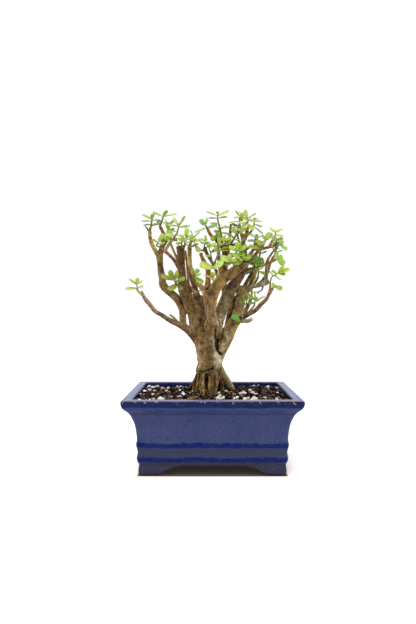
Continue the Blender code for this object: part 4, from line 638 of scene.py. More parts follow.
def place_leaves():
    """Settles every leaf so that it is clear of all wood and of every other shoot."""
    chance = random.Random(LEAF_SEED)
    routes = list(WOOD.values()) + [shoot_nub(stem) for stem, _ in SHOOTS if not twig_end(stem)]
    wood = np.concatenate([spheres_along(points) for points in routes])
    stems = [spheres_along(seated(stem)) for stem, _ in SHOOTS]
    placed = [[] for _ in SHOOTS]
    for number, (stem, marked) in enumerate(SHOOTS):
        others = [balls for index, balls in enumerate(stems) if index != number]
        solid = np.concatenate([wood] + others)
        for leaf in wanted_leaves(stem, marked, chance):
            for roll, swing, lift, share in LEAF_TRIES:
                trial = leaf.turned(math.radians(roll), math.radians(swing), math.radians(lift), share)
                if fits(trial, solid, placed, number):
                    placed[number].append(trial)
                    break
    return placed


def fits(leaf, solid, placed, number):
    """Whether a leaf is clear of the balls in solid and of the leaves placed so far."""
    points = leaf.samples()
    near = solid[np.linalg.norm(solid[:, :3] - leaf.base, axis=1) < leaf.length + WOOD_NEARBY]
    away = np.linalg.norm(points[:, None] - near[None, :, :3], axis=2) - near[None, :, 3]
    if away.size and away.min() < WOOD_CLEARANCE:
        return False
    for index, leaves in enumerate(placed):
        margin = OWN_LEAF_CLEARANCE if index == number else LEAF_CLEARANCE
        for other in leaves:
            if np.linalg.norm(other.base - leaf.base) > other.length + leaf.length + LEAF_NEARBY:
                continue
            theirs = other.samples()
            if index == number:
                if other.holds(points[FOOT_SAMPLES:], margin) or leaf.holds(theirs[FOOT_SAMPLES:], margin):
                    return False
            elif other.holds(points, margin) or leaf.holds(theirs, margin):
                return False
    return True


def smooth_route(points, step, place_columns=3):
    """More rows on a smooth curve through the given ones. The first columns are a place in
    millimetres, and the others, such as a radius, change evenly from row to row."""
    points = np.array(points, float)
    ends = np.vstack([2 * points[0] - points[1], points, 2 * points[-1] - points[-2]])
    found = []
    for before, start, end, after in zip(ends, ends[1:], ends[2:], ends[3:]):
        reach = np.linalg.norm((end - start)[:place_columns])
        count = max(1, round(reach / step))
        for index in range(count):
            t = index / count
            row = start + 0.5 * t * (end - before)
            row = row + t ** 2 * (before - 2.5 * start + 2 * end - 0.5 * after)
            row = row + t ** 3 * (1.5 * (start - end) + 0.5 * (after - before))
            row[place_columns:] = (start + (end - start) * t)[place_columns:]
            found.append(row)
    found.append(points[-1])
    return np.array(found)


def finished(shape, name, material, smooth_angle=None):
    """Turns a bmesh in millimetres into a shown object in metres."""
    bmesh.ops.transform(shape, matrix=Matrix.Scale(MM, 4), verts=shape.verts)
    mesh = bpy.data.meshes.new(name)
    shape.to_mesh(mesh)
    shape.free()
    mesh.materials.append(material)
    mesh.shade_smooth()
    if smooth_angle:
        mesh.set_sharp_from_angle(angle=math.radians(smooth_angle))
    made = bpy.data.objects.new(name, mesh)
    bpy.context.scene.collection.objects.link(made)
    return made


def mesh_as_shown(made):
    """A new mesh of an object, with its modifiers or its curve's thickness worked in."""
    bpy.context.view_layer.update()
    evaluated = made.evaluated_get(bpy.context.evaluated_depsgraph_get())
    return bpy.data.meshes.new_from_object(evaluated)


def apply_modifiers(made):
    mesh = mesh_as_shown(made)
    made.modifiers.clear()
    made.data = mesh


def cut(target, cutter):
    modifier = target.modifiers.new("cut", "BOOLEAN")
    modifier.operation = "DIFFERENCE"
    modifier.object = cutter
    apply_modifiers(target)
    bpy.data.objects.remove(cutter)


def add_tube(shape, route, sides):
    """Adds a round tube with closed ends to a bmesh, along rows (x, y, z, radius)."""
    curve = bpy.data.curves.new("route", "CURVE")
    curve.dimensions = "3D"
    curve.bevel_depth = 1.0
    curve.bevel_resolution = sides // 2 - 2
    curve.use_fill_caps = True
    spline = curve.splines.new("POLY")
    spline.points.add(len(route) - 1)
    for point, (x, y, z, radius) in zip(spline.points, route):
        point.co = (x, y, z, 1)
        point.radius = radius
    holder = bpy.data.objects.new("route", curve)
    bpy.context.scene.collection.objects.link(holder)
    mesh = mesh_as_shown(holder)
    bpy.data.objects.remove(holder)
    bpy.data.curves.remove(curve)
    shape.from_mesh(mesh)
    bpy.data.meshes.remove(mesh)


def welded_tubes(routes, sides):
    """One bmesh of a tube along each route, with the ends' caps joined on."""
    shape = bmesh.new()
    for route in routes:
        add_tube(shape, route, sides)
    bmesh.ops.remove_doubles(shape, verts=shape.verts, dist=WELD_DISTANCE)
    bmesh.ops.recalc_face_normals(shape, faces=shape.faces)
    return shape


def dress(made, slot, *nodes):
    """Lets a piece ride with the part and stand for the solids named. The slot is not used."""
    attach(made, "root")
    if nodes:
        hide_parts(*nodes)


# Shader steps. A value is a socket or a number, and the first socket names the tree to add to.


def put(beside, kind, inputs=None, **settings):
    """Adds a shader node beside another node or socket. An input that is a socket is linked,
    and a value is set."""
    tree = beside.id_data
    made = tree.nodes.new("ShaderNode" + kind)
    for name, value in settings.items():
        setattr(made, name, value)
    for name, value in (inputs or {}).items():
        if isinstance(value, bpy.types.NodeSocket):
            tree.links.new(value, made.inputs[name])
        else:
            made.inputs[name].default_value = value
    return made


def feed(node, **values):
    """Links values to a node's inputs. An underscore in a name stands for a space."""
    for name, value in values.items():
        node.id_data.links.new(value, node.inputs[name.replace("_", " ")])


def first_socket(*values):
    return next(value for value in values if isinstance(value, bpy.types.NodeSocket))


def maths(operation, first, second=0.0):
    inputs = {0: first, 1: second}
    return put(first_socket(first, second), "Math", inputs, operation=operation).outputs[0]


def times(first, *others):
    for other in others:
        first = maths("MULTIPLY", first, other)
    return first


def plus(first, *others):
    for other in others:
        first = maths("ADD", first, other)
    return first


def minus(first, second):
    return maths("SUBTRACT", first, second)


def vector_maths(operation, first, second=(0, 0, 0), output="Vector"):
    return put(first, "VectorMath", {0: first, 1: second}, operation=operation).outputs[output]


def split(vector):
    """The parts X, Y and Z of a vector."""
    return put(vector, "SeparateXYZ", {"Vector": vector}).outputs


def ramp(value, low, high, to_low=0.0, to_high=1.0):
    """Takes a value smoothly from one range to another, and holds it there outside."""
    inputs = {"Value": value, "From Min": low, "From Max": high, "To Min": to_low, "To Max": to_high}
    return put(value, "MapRange", inputs, interpolation_type="SMOOTHSTEP").outputs["Result"]


def mixed(factor, first, second, blend="MIX"):
    """A colour between two colours, each of them a socket or three numbers."""
    beside = first_socket(factor, first, second)
    inputs = {0: factor}
    for index, colour in ((6, first), (7, second)):
        inputs[index] = colour if isinstance(colour, bpy.types.NodeSocket) else (*colour, 1)
    return put(beside, "Mix", inputs, data_type="RGBA", blend_type=blend).outputs[2]


def layered(colour, layers):
    """A colour with others laid over it in turn, each given as (how much, colour)."""
    for factor, over in layers:
        colour = mixed(factor, colour, over)
    return colour


def noisy(place, scale, detail=3.0, roughness=0.55, stretch=None):
    """Noise from 0 to 1, at a scale of so many lumps a metre, drawn out along an axis if asked."""
    if stretch:
        place = put(place, "Mapping", {"Vector": place, "Scale": stretch}).outputs["Vector"]
    inputs = {"Vector": place, "Scale": scale, "Detail": detail, "Roughness": roughness}
    return put(place, "TexNoise", inputs).outputs["Fac"]


def spots(place, lumps, span):
    """A pattern of noise: its lumps (scale, detail, roughness), and the span of the noise's
    values that is taken to 0 to 1, or to other values if the span names them too."""
    return ramp(noisy(place, *lumps), *span)


def new_finish(name, roughness, **constants):
    """A material, its shader and the piece's own coordinates."""
    material = bpy.data.materials.new(name)
    material.use_nodes = True
    shader = material.node_tree.nodes["Principled BSDF"]
    shader.inputs["Roughness"].default_value = roughness
    for socket, value in constants.items():
        shader.inputs[socket.replace("_", " ")].default_value = value
    return material, shader, put(shader, "TexCoord").outputs["Object"]


def relief(shader, height, distance, strength):
    """Raises the surface's shading by a height pattern, over a distance in metres."""
    inputs = {"Height": height, "Distance": distance, "Strength": strength}
    feed(shader, Normal=put(shader, "Bump", inputs).outputs["Normal"])


def attribute(shader, name, output="Fac"):
    return put(shader, "Attribute", attribute_name=name).outputs[output]


def edge_distance(place):
    """How far a point stands in from the pot's outline over the rim, in metres."""
    corner = (POT_WIDTH / 2 - CORNER_RADIUS, POT_DEPTH / 2 - CORNER_RADIUS, NO_LIMIT)
    half = tuple(side * MM for side in corner)
    past = vector_maths("SUBTRACT", vector_maths("ABSOLUTE", place), half)
    outside = vector_maths("LENGTH", vector_maths("MAXIMUM", past), output="Value")
    sides = split(past)
    inside = maths("MINIMUM", maths("MAXIMUM", sides["X"], sides["Y"]), 0.0)
    return minus(CORNER_RADIUS * MM, plus(outside, inside))


def band(value, low, high, soft):
    """1 between two values and 0 beyond them, with soft edges. All are in millimetres."""
    rising = ramp(value, (low - soft) * MM, (low + soft) * MM)
    falling = ramp(value, (high - soft) * MM, (high + soft) * MM, 1.0, 0.0)
    return times(rising, falling)


# Camera, light and floor

WHITE = (1, 1, 1, 1)
# The surround's strength as light on the object, and as the camera and reflections see it
SURROUND_LIGHT = 0.5
BACKDROP_LIGHT = 1.05
# Reflections see a dim room on the front side, and the white backdrop from there on
ROOM_LIGHT = 0.12
ROOM_EDGE = (-0.35, 0.1)
FLOOR_HALF_SIDE = 6000.0
FLOOR_GAP = 0.05
FLOOR_COLOUR = (0.86, 0.86, 0.86)
FLOOR_GLOW = 0.5
# A faint painted glow left on the painted shadow under the pot
FLOOR_PAINTED_GLOW_UNDER = 0.028
# Painted shadow: the floor is coloured dark under the pot, from just inside its feet on, and its glow fades
# there
FLOOR_PAINTED_SHADOW = (0.09, 0.08, 0.085)
FLOOR_PAINTED_SHADOW_FROM = 14.5
FLOOR_PAINTED_SHADOW_TO = 18.0
# A painted warm shadow round the feet: the floor's glow turns warm there
FLOOR_PAINTED_WARM_SHADOW = (0.8, 0.62, 0.5)
FLOOR_PAINTED_WARM_SHADOW_FROM = 1.0
# Lamps: name, the direction it shines from, how broad it is in degrees, and its strength
LAMPS = [
    ("overhead", (-0.35, -0.45, 1.0), 60, 2.2),
    ("front_fill", (0.7, -1.0, 0.5), 90, 0.5),
    ("right_window", (1.0, -0.15, 0.35), 50, 0.6),
]


def set_camera():
    camera = bpy.data.objects.new("camera", bpy.data.cameras.new("camera"))
    camera.data.lens = CAMERA_LENS
    camera.data.sensor_width = CAMERA_SENSOR
    camera.location = CAMERA_AT
    camera.rotation_euler = (math.radians(90), 0, 0)
    bpy.context.scene.collection.objects.link(camera)
    bpy.context.scene.camera = camera


def set_surround():
    """A white surround, as in a light tent. Reflections see a dim room on its front side."""
    world = bpy.data.worlds.new("white_surround")
    world.use_nodes = True
    around = world.node_tree.nodes["Background"]
    around.inputs["Color"].default_value = WHITE
    around.inputs["Strength"].default_value = SURROUND_LIGHT
    rays = put(around, "LightPath").outputs
    direction = split(put(around, "TexCoord").outputs["Generated"])
    reflected = ramp(direction["Y"], *ROOM_EDGE, ROOM_LIGHT, BACKDROP_LIGHT)
    by_ray = {0: rays["Is Glossy Ray"], 2: BACKDROP_LIGHT, 3: reflected}
    strength = put(around, "Mix", by_ray).outputs[0]
    backdrop = put(around, "Background", {"Color": WHITE, "Strength": strength})
    seen = maths("MAXIMUM", rays["Is Camera Ray"], rays["Is Glossy Ray"])
    both = put(around, "MixShader", {0: seen, 1: around.outputs[0], 2: backdrop.outputs[0]})
    feed(world.node_tree.nodes["World Output"], Surface=both.outputs[0])
    bpy.context.scene.world = world


def set_lamps():
    for name, place, spread, strength in LAMPS:
        lamp = bpy.data.lights.new(name, "SUN")
        lamp.angle = math.radians(spread)
        lamp.energy = strength
        holder = bpy.data.objects.new(name, lamp)
        holder.rotation_euler = Vector(place).to_track_quat("Z", "Y").to_euler()
        bpy.context.scene.collection.objects.link(holder)


def lay_floor():
    """A floor as white as the surround, with a painted warm shadow round the pot's feet and a painted shadow
    under it.
    """
    floor = bmesh.new()
    bmesh.ops.create_grid(floor, x_segments=1, y_segments=1, size=FLOOR_HALF_SIDE)
    bmesh.ops.translate(floor, verts=floor.verts, vec=(0, 0, -FLOOR_GAP))
    white, shader, place = new_finish("white_floor", 0.9, Specular_IOR_Level=0.0)
    stand_in = edge_distance(place)
    # Painted warm shadow round the feet
    near = ramp(stand_in, FLOOR_PAINTED_WARM_SHADOW_FROM * MM, FLOOR_PAINTED_SHADOW_FROM * MM)
    # Painted shadow under the pot, where the glow fades to a faint painted glow
    under = ramp(stand_in, FLOOR_PAINTED_SHADOW_FROM * MM, FLOOR_PAINTED_SHADOW_TO * MM)
    seen = put(shader, "LightPath").outputs["Is Camera Ray"]
    feed(
        shader,
        Base_Color=mixed(under, FLOOR_COLOUR, FLOOR_PAINTED_SHADOW),
        Emission_Color=mixed(near, WHITE[:3], FLOOR_PAINTED_WARM_SHADOW),
        Emission_Strength=times(seen, ramp(under, 0, 1, FLOOR_GLOW, FLOOR_PAINTED_GLOW_UNDER)),
    )
    finished(floor, "floor", white)


# The pot

GLAZE_BODY = (0.038, 0.05, 0.14)
GLAZE_HAZE = (0.051, 0.063, 0.16)
GLAZE_DEEP = (0.0, 0.01, 0.105)
# Painted reflection of the white surround on the rim's upward faces
TOP_PAINTED_REFLECTION = (0.19, 0.21, 0.37)
GLAZE_LOW = (0.03, 0.031, 0.058)
GLAZE_RUST = (0.06, 0.026, 0.016)
GLAZE_SPECK = (0.088, 0.098, 0.19)
GLAZE_BROKEN = (0.022, 0.013, 0.012)
# Painted glints, in tan, on the broken edges
TAN_PAINTED_GLINT = (0.36, 0.26, 0.19)
GLAZE_GREY = (0.037, 0.043, 0.082)
GLAZE_SMUDGE = (0.06, 0.042, 0.05)
CLAY_DARK = (0.08, 0.062, 0.06)
CLAY_LIGHT = (0.17, 0.13, 0.12)
# Noise: lumps a metre and detail, and for a pattern the span of the noise that it shows in
CLOUDS = (30, 4)
CLOUD_SPAN = (0.3, 0.7)
TOP_CLOUDS = (0.3, 0.7, 0.75, 1.0)
RIPPLES = (120, 2)
SPECKS = (1100, 2)
SPECK_SPAN = (0.53, 0.72, 0, 0.75)
DOTS = ((650, 2), (0.55, 0.68, 0, 0.6))
SMUDGES = ((70, 4), (0.58, 0.68, 0, 0.6))
PATCHES = ((240, 3), (0.36, 0.6, 1.0, 0.82))
WORN = ((170, 3), (0.3, 0.55, 0.7, 1.0))
# Where the painted glints show on the broken edges
PAINTED_GLINT_SPOTS = ((300, 2), (0.6, 0.68, 0, 0.9))
CLAY_GRAIN = (500, 4)
PEEL = (260, 3)
# How far the thick bands wander up and down, in broad waves and in small ones, in metres
GLAZE_SWAY = 0.0032
GLAZE_RIPPLE = 0.0026
# The glaze greys towards the feet, from one height to another
GLAZE_LOW_FROM = 40.0
GLAZE_LOW_TO = 8.0
# Where the glaze ran thick, in millimetres of height, and how strongly it shows
GLAZE_BANDS = [(15.7, 20.6, 1.0), (31.4, 36.8, 1.0), (78.4, 84.5, 1.0), (70.0, 71.6, 0.6)]
BAND_SOFTNESS = 1.0
# Zones in millimetres, from, to and how soft: between the two raised bands, the edges where the
# glaze broke, by height and by stand-in, then the rim's top, where a reflection is painted, the
# arches' edges and the underside
SMUDGED_HEIGHT = (21.5, 30.8, 1.0)
SMUDGED_SHARE = 0.85
OUTER_EDGE = ((83.0, 90, 0.4), (-3, 0.7, 0.25))
INNER_EDGE = ((85.0, 90, 0.3), (10.2, 12, 0.3))
INNER_EDGE_SHARE = 0.6
FOOT_EDGE = (-5, 2.2, 0.8)
TOP_HEIGHT = (83.5, 90, 0.5)
ARCH_HEIGHT = (-5, 13, 0.5)
UNDERSIDE_HEIGHT = (-5, 18, 0.5)
# How far a surface faces up, from where a zone begins to where it is full
FACING_UP = (0.6, 0.97)
FACING_DOWNWARD = (-0.2, -0.5)
FACING_DOWN = (-0.75, -0.9)
GLAZE_ROUGHNESS = (0.25, 0.36)
CLAY_ROUGHNESS = 0.5
BROKEN_ROUGHNESS = 0.15
PEEL_SPECKS = 0.15
EDGE_SEGMENTS = 2
EDGE_ANGLE = 40


def rectangle_ring(shape, stand_in, height):
    """One level of the pot: a rectangle with round corners, as a closed ring of edges."""
    half_width = POT_WIDTH / 2 - stand_in - CORNER_RADIUS
    half_depth = POT_DEPTH / 2 - stand_in - CORNER_RADIUS
    corners = [(1, 1, 0), (-1, 1, 90), (-1, -1, 180), (1, -1, 270)]
    verts = []
    for side_x, side_y, start in corners:
        for step in range(CORNER_STEPS + 1):
            angle = math.radians(start + 90 * step / CORNER_STEPS)
            x = side_x * half_width + CORNER_RADIUS * math.cos(angle)
            y = side_y * half_depth + CORNER_RADIUS * math.sin(angle)
            verts.append(shape.verts.new((x, y, height)))
    return [shape.edges.new((verts[i - 1], verts[i])) for i in range(len(verts))]


def stacked_rectangles(name, levels, material):
    """A closed solid through rectangles on a smooth profile of (stand-in, height) levels."""
    shape = bmesh.new()
    rings = [rectangle_ring(shape, x, z) for x, z in smooth_route(levels, LEVEL_STEP, 2)]
    for lower, upper in zip(rings, rings[1:]):
        bmesh.ops.bridge_loops(shape, edges=lower + upper)
    bmesh.ops.contextual_create(shape, geom=rings[0])
    bmesh.ops.contextual_create(shape, geom=rings[-1])
    bmesh.ops.recalc_face_normals(shape, faces=shape.faces)
    return finished(shape, name, material)


def arch_cutter(half_outline, length, turn, material):
    """The passage between two feet: an arch drawn upright and drawn out along its passage."""
    half = [tuple(row) for row in smooth_route(half_outline, LEVEL_STEP, 2)]
    outline = half + [(-x, z) for x, z in reversed(half)]
    shape = bmesh.new()
    face = shape.faces.new([shape.verts.new((x, -length / 2, z)) for x, z in outline])
    moved = bmesh.ops.extrude_face_region(shape, geom=[face])["geom"]
    moved = [item for item in moved if isinstance(item, bmesh.types.BMVert)]
    bmesh.ops.translate(shape, verts=moved, vec=(0, length, 0))
    bmesh.ops.rotate(shape, verts=shape.verts, matrix=Matrix.Rotation(math.radians(turn), 3, "Z"))
    bmesh.ops.recalc_face_normals(shape, faces=shape.faces)
    return finished(shape, "arch", material)


def hole_cutter(x, material):
    """A drain hole through the floor."""
    shape = bmesh.new()
    bmesh.ops.create_cone(
        shape, cap_ends=True, segments=HOLE_SIDES, radius1=DRAIN_HOLE_RADIUS,
        radius2=DRAIN_HOLE_RADIUS, depth=3 * FLOOR_TOP,
    )
    bmesh.ops.translate(shape, verts=shape.verts, vec=(x, 0, 0))
    return finished(shape, "hole", material)


def make_pot():
    glaze = blue_glaze()
    pot = stacked_rectangles("pot_shell", OUTSIDE, glaze)
    cut(pot, stacked_rectangles("inside", INSIDE, glaze))
    cut(pot, arch_cutter(FRONT_ARCH, 2 * POT_DEPTH, 0, glaze))
    cut(pot, arch_cutter(SIDE_ARCH, 2 * POT_WIDTH, 90, glaze))
    for x in (-DRAIN_HOLE_X, DRAIN_HOLE_X):
        cut(pot, hole_cutter(x, glaze))
    bevel = pot.modifiers.new("eased_edges", "BEVEL")
    bevel.width = EDGE_ROUNDING * MM
    bevel.segments = EDGE_SEGMENTS
    bevel.limit_method = "ANGLE"
    bevel.angle_limit = math.radians(EDGE_ANGLE)
    bevel.use_clamp_overlap = False
    apply_modifiers(pot)
    pot.data.shade_smooth()
    pot.data.set_sharp_from_angle(angle=math.radians(POT_SHARP_ANGLE))
    dress(pot, "blue_glaze", "pot")


def broken_edges(place, level, stand_in):
    """Where the glaze broke: at the rim's two edges and at the feet."""
    outer, inner = [
        times(band(level, *heights), band(stand_in, *depths))
        for heights, depths in (OUTER_EDGE, INNER_EDGE)
    ]
    edges = maths("MAXIMUM", maths("MAXIMUM", outer, band(level, *FOOT_EDGE)), times(inner, INNER_EDGE_SHARE))
    return times(edges, spots(place, *WORN))


def blue_glaze():
    """Deep blue glaze: hazier on the flats, deeper where it ran thick, and brown where it
    broke at the rim's edges and the feet, with painted tan glints there and a painted
    reflection of the surround on the rim's top. The underside is bare clay."""
    material, shader, place = new_finish("blue_glaze", 0.3, Specular_IOR_Level=0.1)
    height = split(place)["Z"]
    facing = split(put(shader, "NewGeometry").outputs["Normal"])["Z"]
    cloud = noisy(place, *CLOUDS)
    speck = noisy(place, *SPECKS)
    sway = times(minus(cloud, 0.5), GLAZE_SWAY)
    ripple = times(minus(noisy(place, *RIPPLES), 0.5), GLAZE_RIPPLE)
    level = plus(height, sway, ripple)
    broken = broken_edges(place, level, edge_distance(place))
    patches = spots(place, *PATCHES)
    # Painted reflection: upward faces at the rim's top are paler
    top = times(ramp(facing, *FACING_UP), band(height, *TOP_HEIGHT), ramp(cloud, *TOP_CLOUDS))
    bare = times(ramp(facing, *FACING_DOWN), band(height, *UNDERSIDE_HEIGHT))
    thick = [times(band(level, low, high, BAND_SOFTNESS), share, patches) for low, high, share in GLAZE_BANDS]
    colour = layered(mixed(ramp(cloud, *CLOUD_SPAN), GLAZE_BODY, GLAZE_HAZE), [
        (ramp(height, GLAZE_LOW_FROM * MM, GLAZE_LOW_TO * MM), GLAZE_LOW),
        (spots(place, *DOTS), GLAZE_DEEP),
        (ramp(speck, *SPECK_SPAN), GLAZE_SPECK),
        (
            times(band(level, *SMUDGED_HEIGHT), SMUDGED_SHARE),
            mixed(spots(place, *SMUDGES), GLAZE_GREY, GLAZE_SMUDGE),
        ),
        *[(factor, GLAZE_DEEP) for factor in thick],
        (top, TOP_PAINTED_REFLECTION),
        # Brown broken edges with painted tan glints
        (broken, mixed(spots(place, *PAINTED_GLINT_SPOTS), GLAZE_BROKEN, TAN_PAINTED_GLINT)),
        (times(ramp(facing, *FACING_DOWNWARD), band(height, *ARCH_HEIGHT)), GLAZE_RUST),
        (bare, mixed(noisy(place, *CLAY_GRAIN), CLAY_DARK, CLAY_LIGHT)),
    ])
    rough = ramp(cloud, *CLOUD_SPAN, *GLAZE_ROUGHNESS)
    rough = plus(rough, times(bare, CLAY_ROUGHNESS), times(broken, BROKEN_ROUGHNESS))
    feed(shader, Base_Color=colour, Roughness=rough)
    peel = plus(noisy(place, *PEEL), times(speck, PEEL_SPECKS))
    relief(shader, peel, distance=0.0004, strength=0.12)
    return material


# The soil's surface

SOIL_DARK = (0.002, 0.0018, 0.002)
SOIL_BROWN = (0.012, 0.009, 0.008)
SOIL_CRUMBS = (700, 4, 0.7)
CRUMB_SPAN = (0.4, 0.7)
GRAIN_PITS = (900, 3, 0.7)
PIT_SPAN = (0.35, 0.65)
GRAIN_SEED = 7
GRAIN_WALL = 12.5
DARK_COUNT = 3000
BARK_COUNT = 330
PERLITE_COUNT = 290
# How near a grain may lie to the roots and how high its middle lies, as shares of its size
GRAIN_CLEARANCE = 0.4
GRAIN_RISE = 0.3
GRAIN_STRETCH = (0.65, 1.0)
GRAIN_TILT = (-25, 25)
GRAIN_LIGHT = (0.75, 1.2)
# Behind this share of the half depth, counted from the middle to the front, grains are thinned
GRAIN_FRONT = 0.5
# Grains: how common the kind is, size in millimetres, height as a share of it, how rough, rounds
# of subdivision, how often they lie at the back too, and their colours
DARK_GRAINS = [
    (7, (1.4, 3.2), (0.6, 0.95), 0.16, 1, 1.0,
     [(0.005, 0.004, 0.005), (0.012, 0.009, 0.008), (0.003, 0.003, 0.004)]),
    (1.3, (2.0, 3.8), (0.6, 0.9), 0.16, 1, 1.0, [(0.07, 0.045, 0.032), (0.11, 0.08, 0.062)]),
    (1.2, (1.5, 3.0), (0.6, 0.9), 0.14, 1, 1.0, [(0.2, 0.16, 0.125), (0.34, 0.29, 0.235)]),
]
BARK_AND_LAVA = [
    (3, (2.6, 5.5), (0.3, 0.5), 0.15, 2, 1.0,
     [(0.3, 0.14, 0.06), (0.15, 0.08, 0.05), (0.42, 0.26, 0.14), (0.2, 0.13, 0.09)]),
    (1.1, (2.4, 4.6), (0.6, 0.9), 0.2, 2, 1.0, [(0.17, 0.055, 0.038), (0.1, 0.035, 0.026)]),
    (0.4, (2.0, 3.4), (0.25, 0.4), 0.1, 2, 1.0, [(0.2, 0.3, 0.06)]),
]
PERLITE = [
    (3, (2.8, 6.2), (0.55, 0.85), 0.2, 2, 0.4,
     [(0.88, 0.86, 0.81), (0.76, 0.69, 0.58), (0.92, 0.9, 0.87)]),
    (2, (1.4, 2.4), (0.6, 0.9), 0.14, 1, 0.6, [(0.75, 0.72, 0.66), (0.6, 0.57, 0.52)]),
]


def soil_finish():
    """The soil under and between the grains: near black and crumbly."""
    material, shader, place = new_finish("soil_base", 0.95, Specular_IOR_Level=0.05)
    crumbs = noisy(place, *SOIL_CRUMBS)
    feed(shader, Base_Color=mixed(ramp(crumbs, *CRUMB_SPAN), SOIL_DARK, SOIL_BROWN))
    relief(shader, crumbs, distance=0.0015, strength=0.8)
    return material


def grain_finish(name, roughness, speckle):
    """Grains coloured one by one, with pits and darker specks."""
    material, shader, place = new_finish(name, roughness, Specular_IOR_Level=0.05)
    pits = noisy(place, *GRAIN_PITS)
    shade = ramp(pits, *PIT_SPAN, 1 - speckle, 1.0)
    pitted = put(shader, "CombineXYZ", {"X": shade, "Y": shade, "Z": shade}).outputs["Vector"]
    tint = attribute(shader, "grain_tint", "Color")
    feed(shader, Base_Color=mixed(1.0, tint, pitted, "MULTIPLY"))
    relief(shader, pits, distance=0.0008, strength=0.6)
    return material


def scatter_grains(name, kinds, count, chance, ground, solid, material):
    """Loose grains on the soil, clear of the roots and the pot's wall."""
    shape = bmesh.new()
    tint = shape.verts.layers.float_color.new("grain_tint")
    half_width = POT_WIDTH / 2 - GRAIN_WALL
    half_depth = POT_DEPTH / 2 - GRAIN_WALL
    weights = [kind[0] for kind in kinds]
    for _ in range(count):
        _, sizes, heights, rough, rounds, at_back, colours = chance.choices(kinds, weights)[0]
        size = chance.uniform(*sizes)
        x = chance.uniform(-half_width, half_width)
        y = chance.uniform(-half_depth, half_depth)
        if at_back < chance.random() and y > -half_depth * GRAIN_FRONT:
            continue
        spot, _, _, _ = ground.ray_cast(Vector((x * MM, y * MM, 1)), Vector((0, 0, -1)))
        if spot is None:
            continue
        z = spot.z / MM
        away = np.linalg.norm(solid[:, :3] - (x, y, z), axis=1) - solid[:, 3]
        if away.min() < size * GRAIN_CLEARANCE:
            continue
        squash = chance.uniform(*heights)
        stretch = chance.uniform(*GRAIN_STRETCH)
        turn = Matrix.Rotation(chance.uniform(0, math.tau), 4, "Z")
        tilt = Matrix.Rotation(math.radians(chance.uniform(*GRAIN_TILT)), 4, "X")
        centre = Vector((x, y, z + size * squash * GRAIN_RISE))
        place = Matrix.Translation(centre) @ turn @ tilt @ Matrix.Diagonal((1, stretch, squash, 1))
        made = bmesh.ops.create_icosphere(shape, subdivisions=rounds, radius=size / 2, matrix=place)
        colour = chance.choice(colours)
        light = chance.uniform(*GRAIN_LIGHT)
        for vert in made["verts"]:
            vert.co = centre + (vert.co - centre) * (1 + chance.uniform(-rough, rough))
            vert[tint] = (*[share * light for share in colour], 1)
    dress(finished(shape, name, material, GRAIN_SHARP_ANGLE), "gritty_soil")


def dress_soil(solid):
    """The soil solid in a crumbly finish, covered in grit, bark, lava and perlite."""
    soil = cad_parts["soil"]
    soil.data.materials.clear()
    soil.data.materials.append(soil_finish())
    ground = bvhtree.BVHTree.FromObject(soil, bpy.context.evaluated_depsgraph_get())
    chance = random.Random(GRAIN_SEED)
    grit = grain_finish("grain_grit", 0.85, 0.55)
    pale = grain_finish("grain_perlite", 0.75, 0.2)
    scatter_grains("soil_dark_grains", DARK_GRAINS, DARK_COUNT, chance, ground, solid, grit)
    scatter_grains("soil_bark_and_lava", BARK_AND_LAVA, BARK_COUNT, chance, ground, solid, grit)
    scatter_grains("soil_perlite", PERLITE, PERLITE_COUNT, chance, ground, solid, pale)


# The wood

# Columns of the rows along the branches
RADIUS = 3
DIRECTION = slice(4, 7)
DISTANCE = 7
SHARE = 8
BRANCH = 9
COLOUR = slice(10, 13)
# Points worked through at a time
CHUNK = 2000
WOOD_SMOOTHINGS = 3
BARK_BLEND = 0.9
# How high lumps and node rings stand on the thick wood and on the twigs
LIMB_RELIEF = (0.75, 0.35)
TWIG_RELIEF = (0.15, 0.2)
RING_SEED = 3
RING_FIRST = (2, 5)
RING_SPACING = (4.5, 9.0)
RING_CLOSEST = 0.6
RING_THICK = 16.0
RING_WIDTH = 0.75
RING_STRENGTH = 0.55
LUMP_SIZE = 9.0
FINE_LUMP_SIZE = 2.6
PATCH_SIZE = 6.0
STREAK_WIDTH = 1.7
STREAK_LENGTH = 5.0
STREAK_SHIFT = 7
# Lumps are full on a branch of this radius, and at least this share on a thinner one
LUMP_RADIUS = 8
LUMP_LEAST = 0.15
FINE_LUMPS = 0.3
STREAK_LUMPS = 0.1
# Painted shade in the wood's hollows: rounds of smoothing that find them, the depth counted as full, and how
# much darker they are
HOLLOW_ROUNDS = 40
HOLLOW_DEPTH = 0.7
HOLLOW_SHADE = 0.92
# How bright the bark is, and how far each pattern makes it lighter or darker
BARK_GAIN = 0.93
BROAD_SHADE = 0.45
PATCH_SHADE = 0.5
STREAK_SHADE = 0.15
FINE_SHADE = 0.35
RING_SHADE = 0.2
SHADE_RANGE = (0.15, 2.4)
# Painted light: the wood's sides, where the surface faces sideways, are paler than its front
SIDE_FROM = 0.5
SIDE_PAINTED_LIGHT = 0.95
# A cut end: from this share of a branch's length, this far before its end, and how squarely the
# surface faces along the branch, where it begins and over how much it grows full
CUT_SHARE = 0.98
CUT_BEFORE = 0.6
CUT_FACING = 0.35
CUT_FADE = 0.4
# A mark's edge: how sharp it is, how far it reaches, and how far it wanders with the fine lumps
MARK_EDGE = 1.6
MARK_REACH = 1.05
MARK_WANDER = 0.45
MARK_FACING = -1.5
MARK_FRONT = 0.4
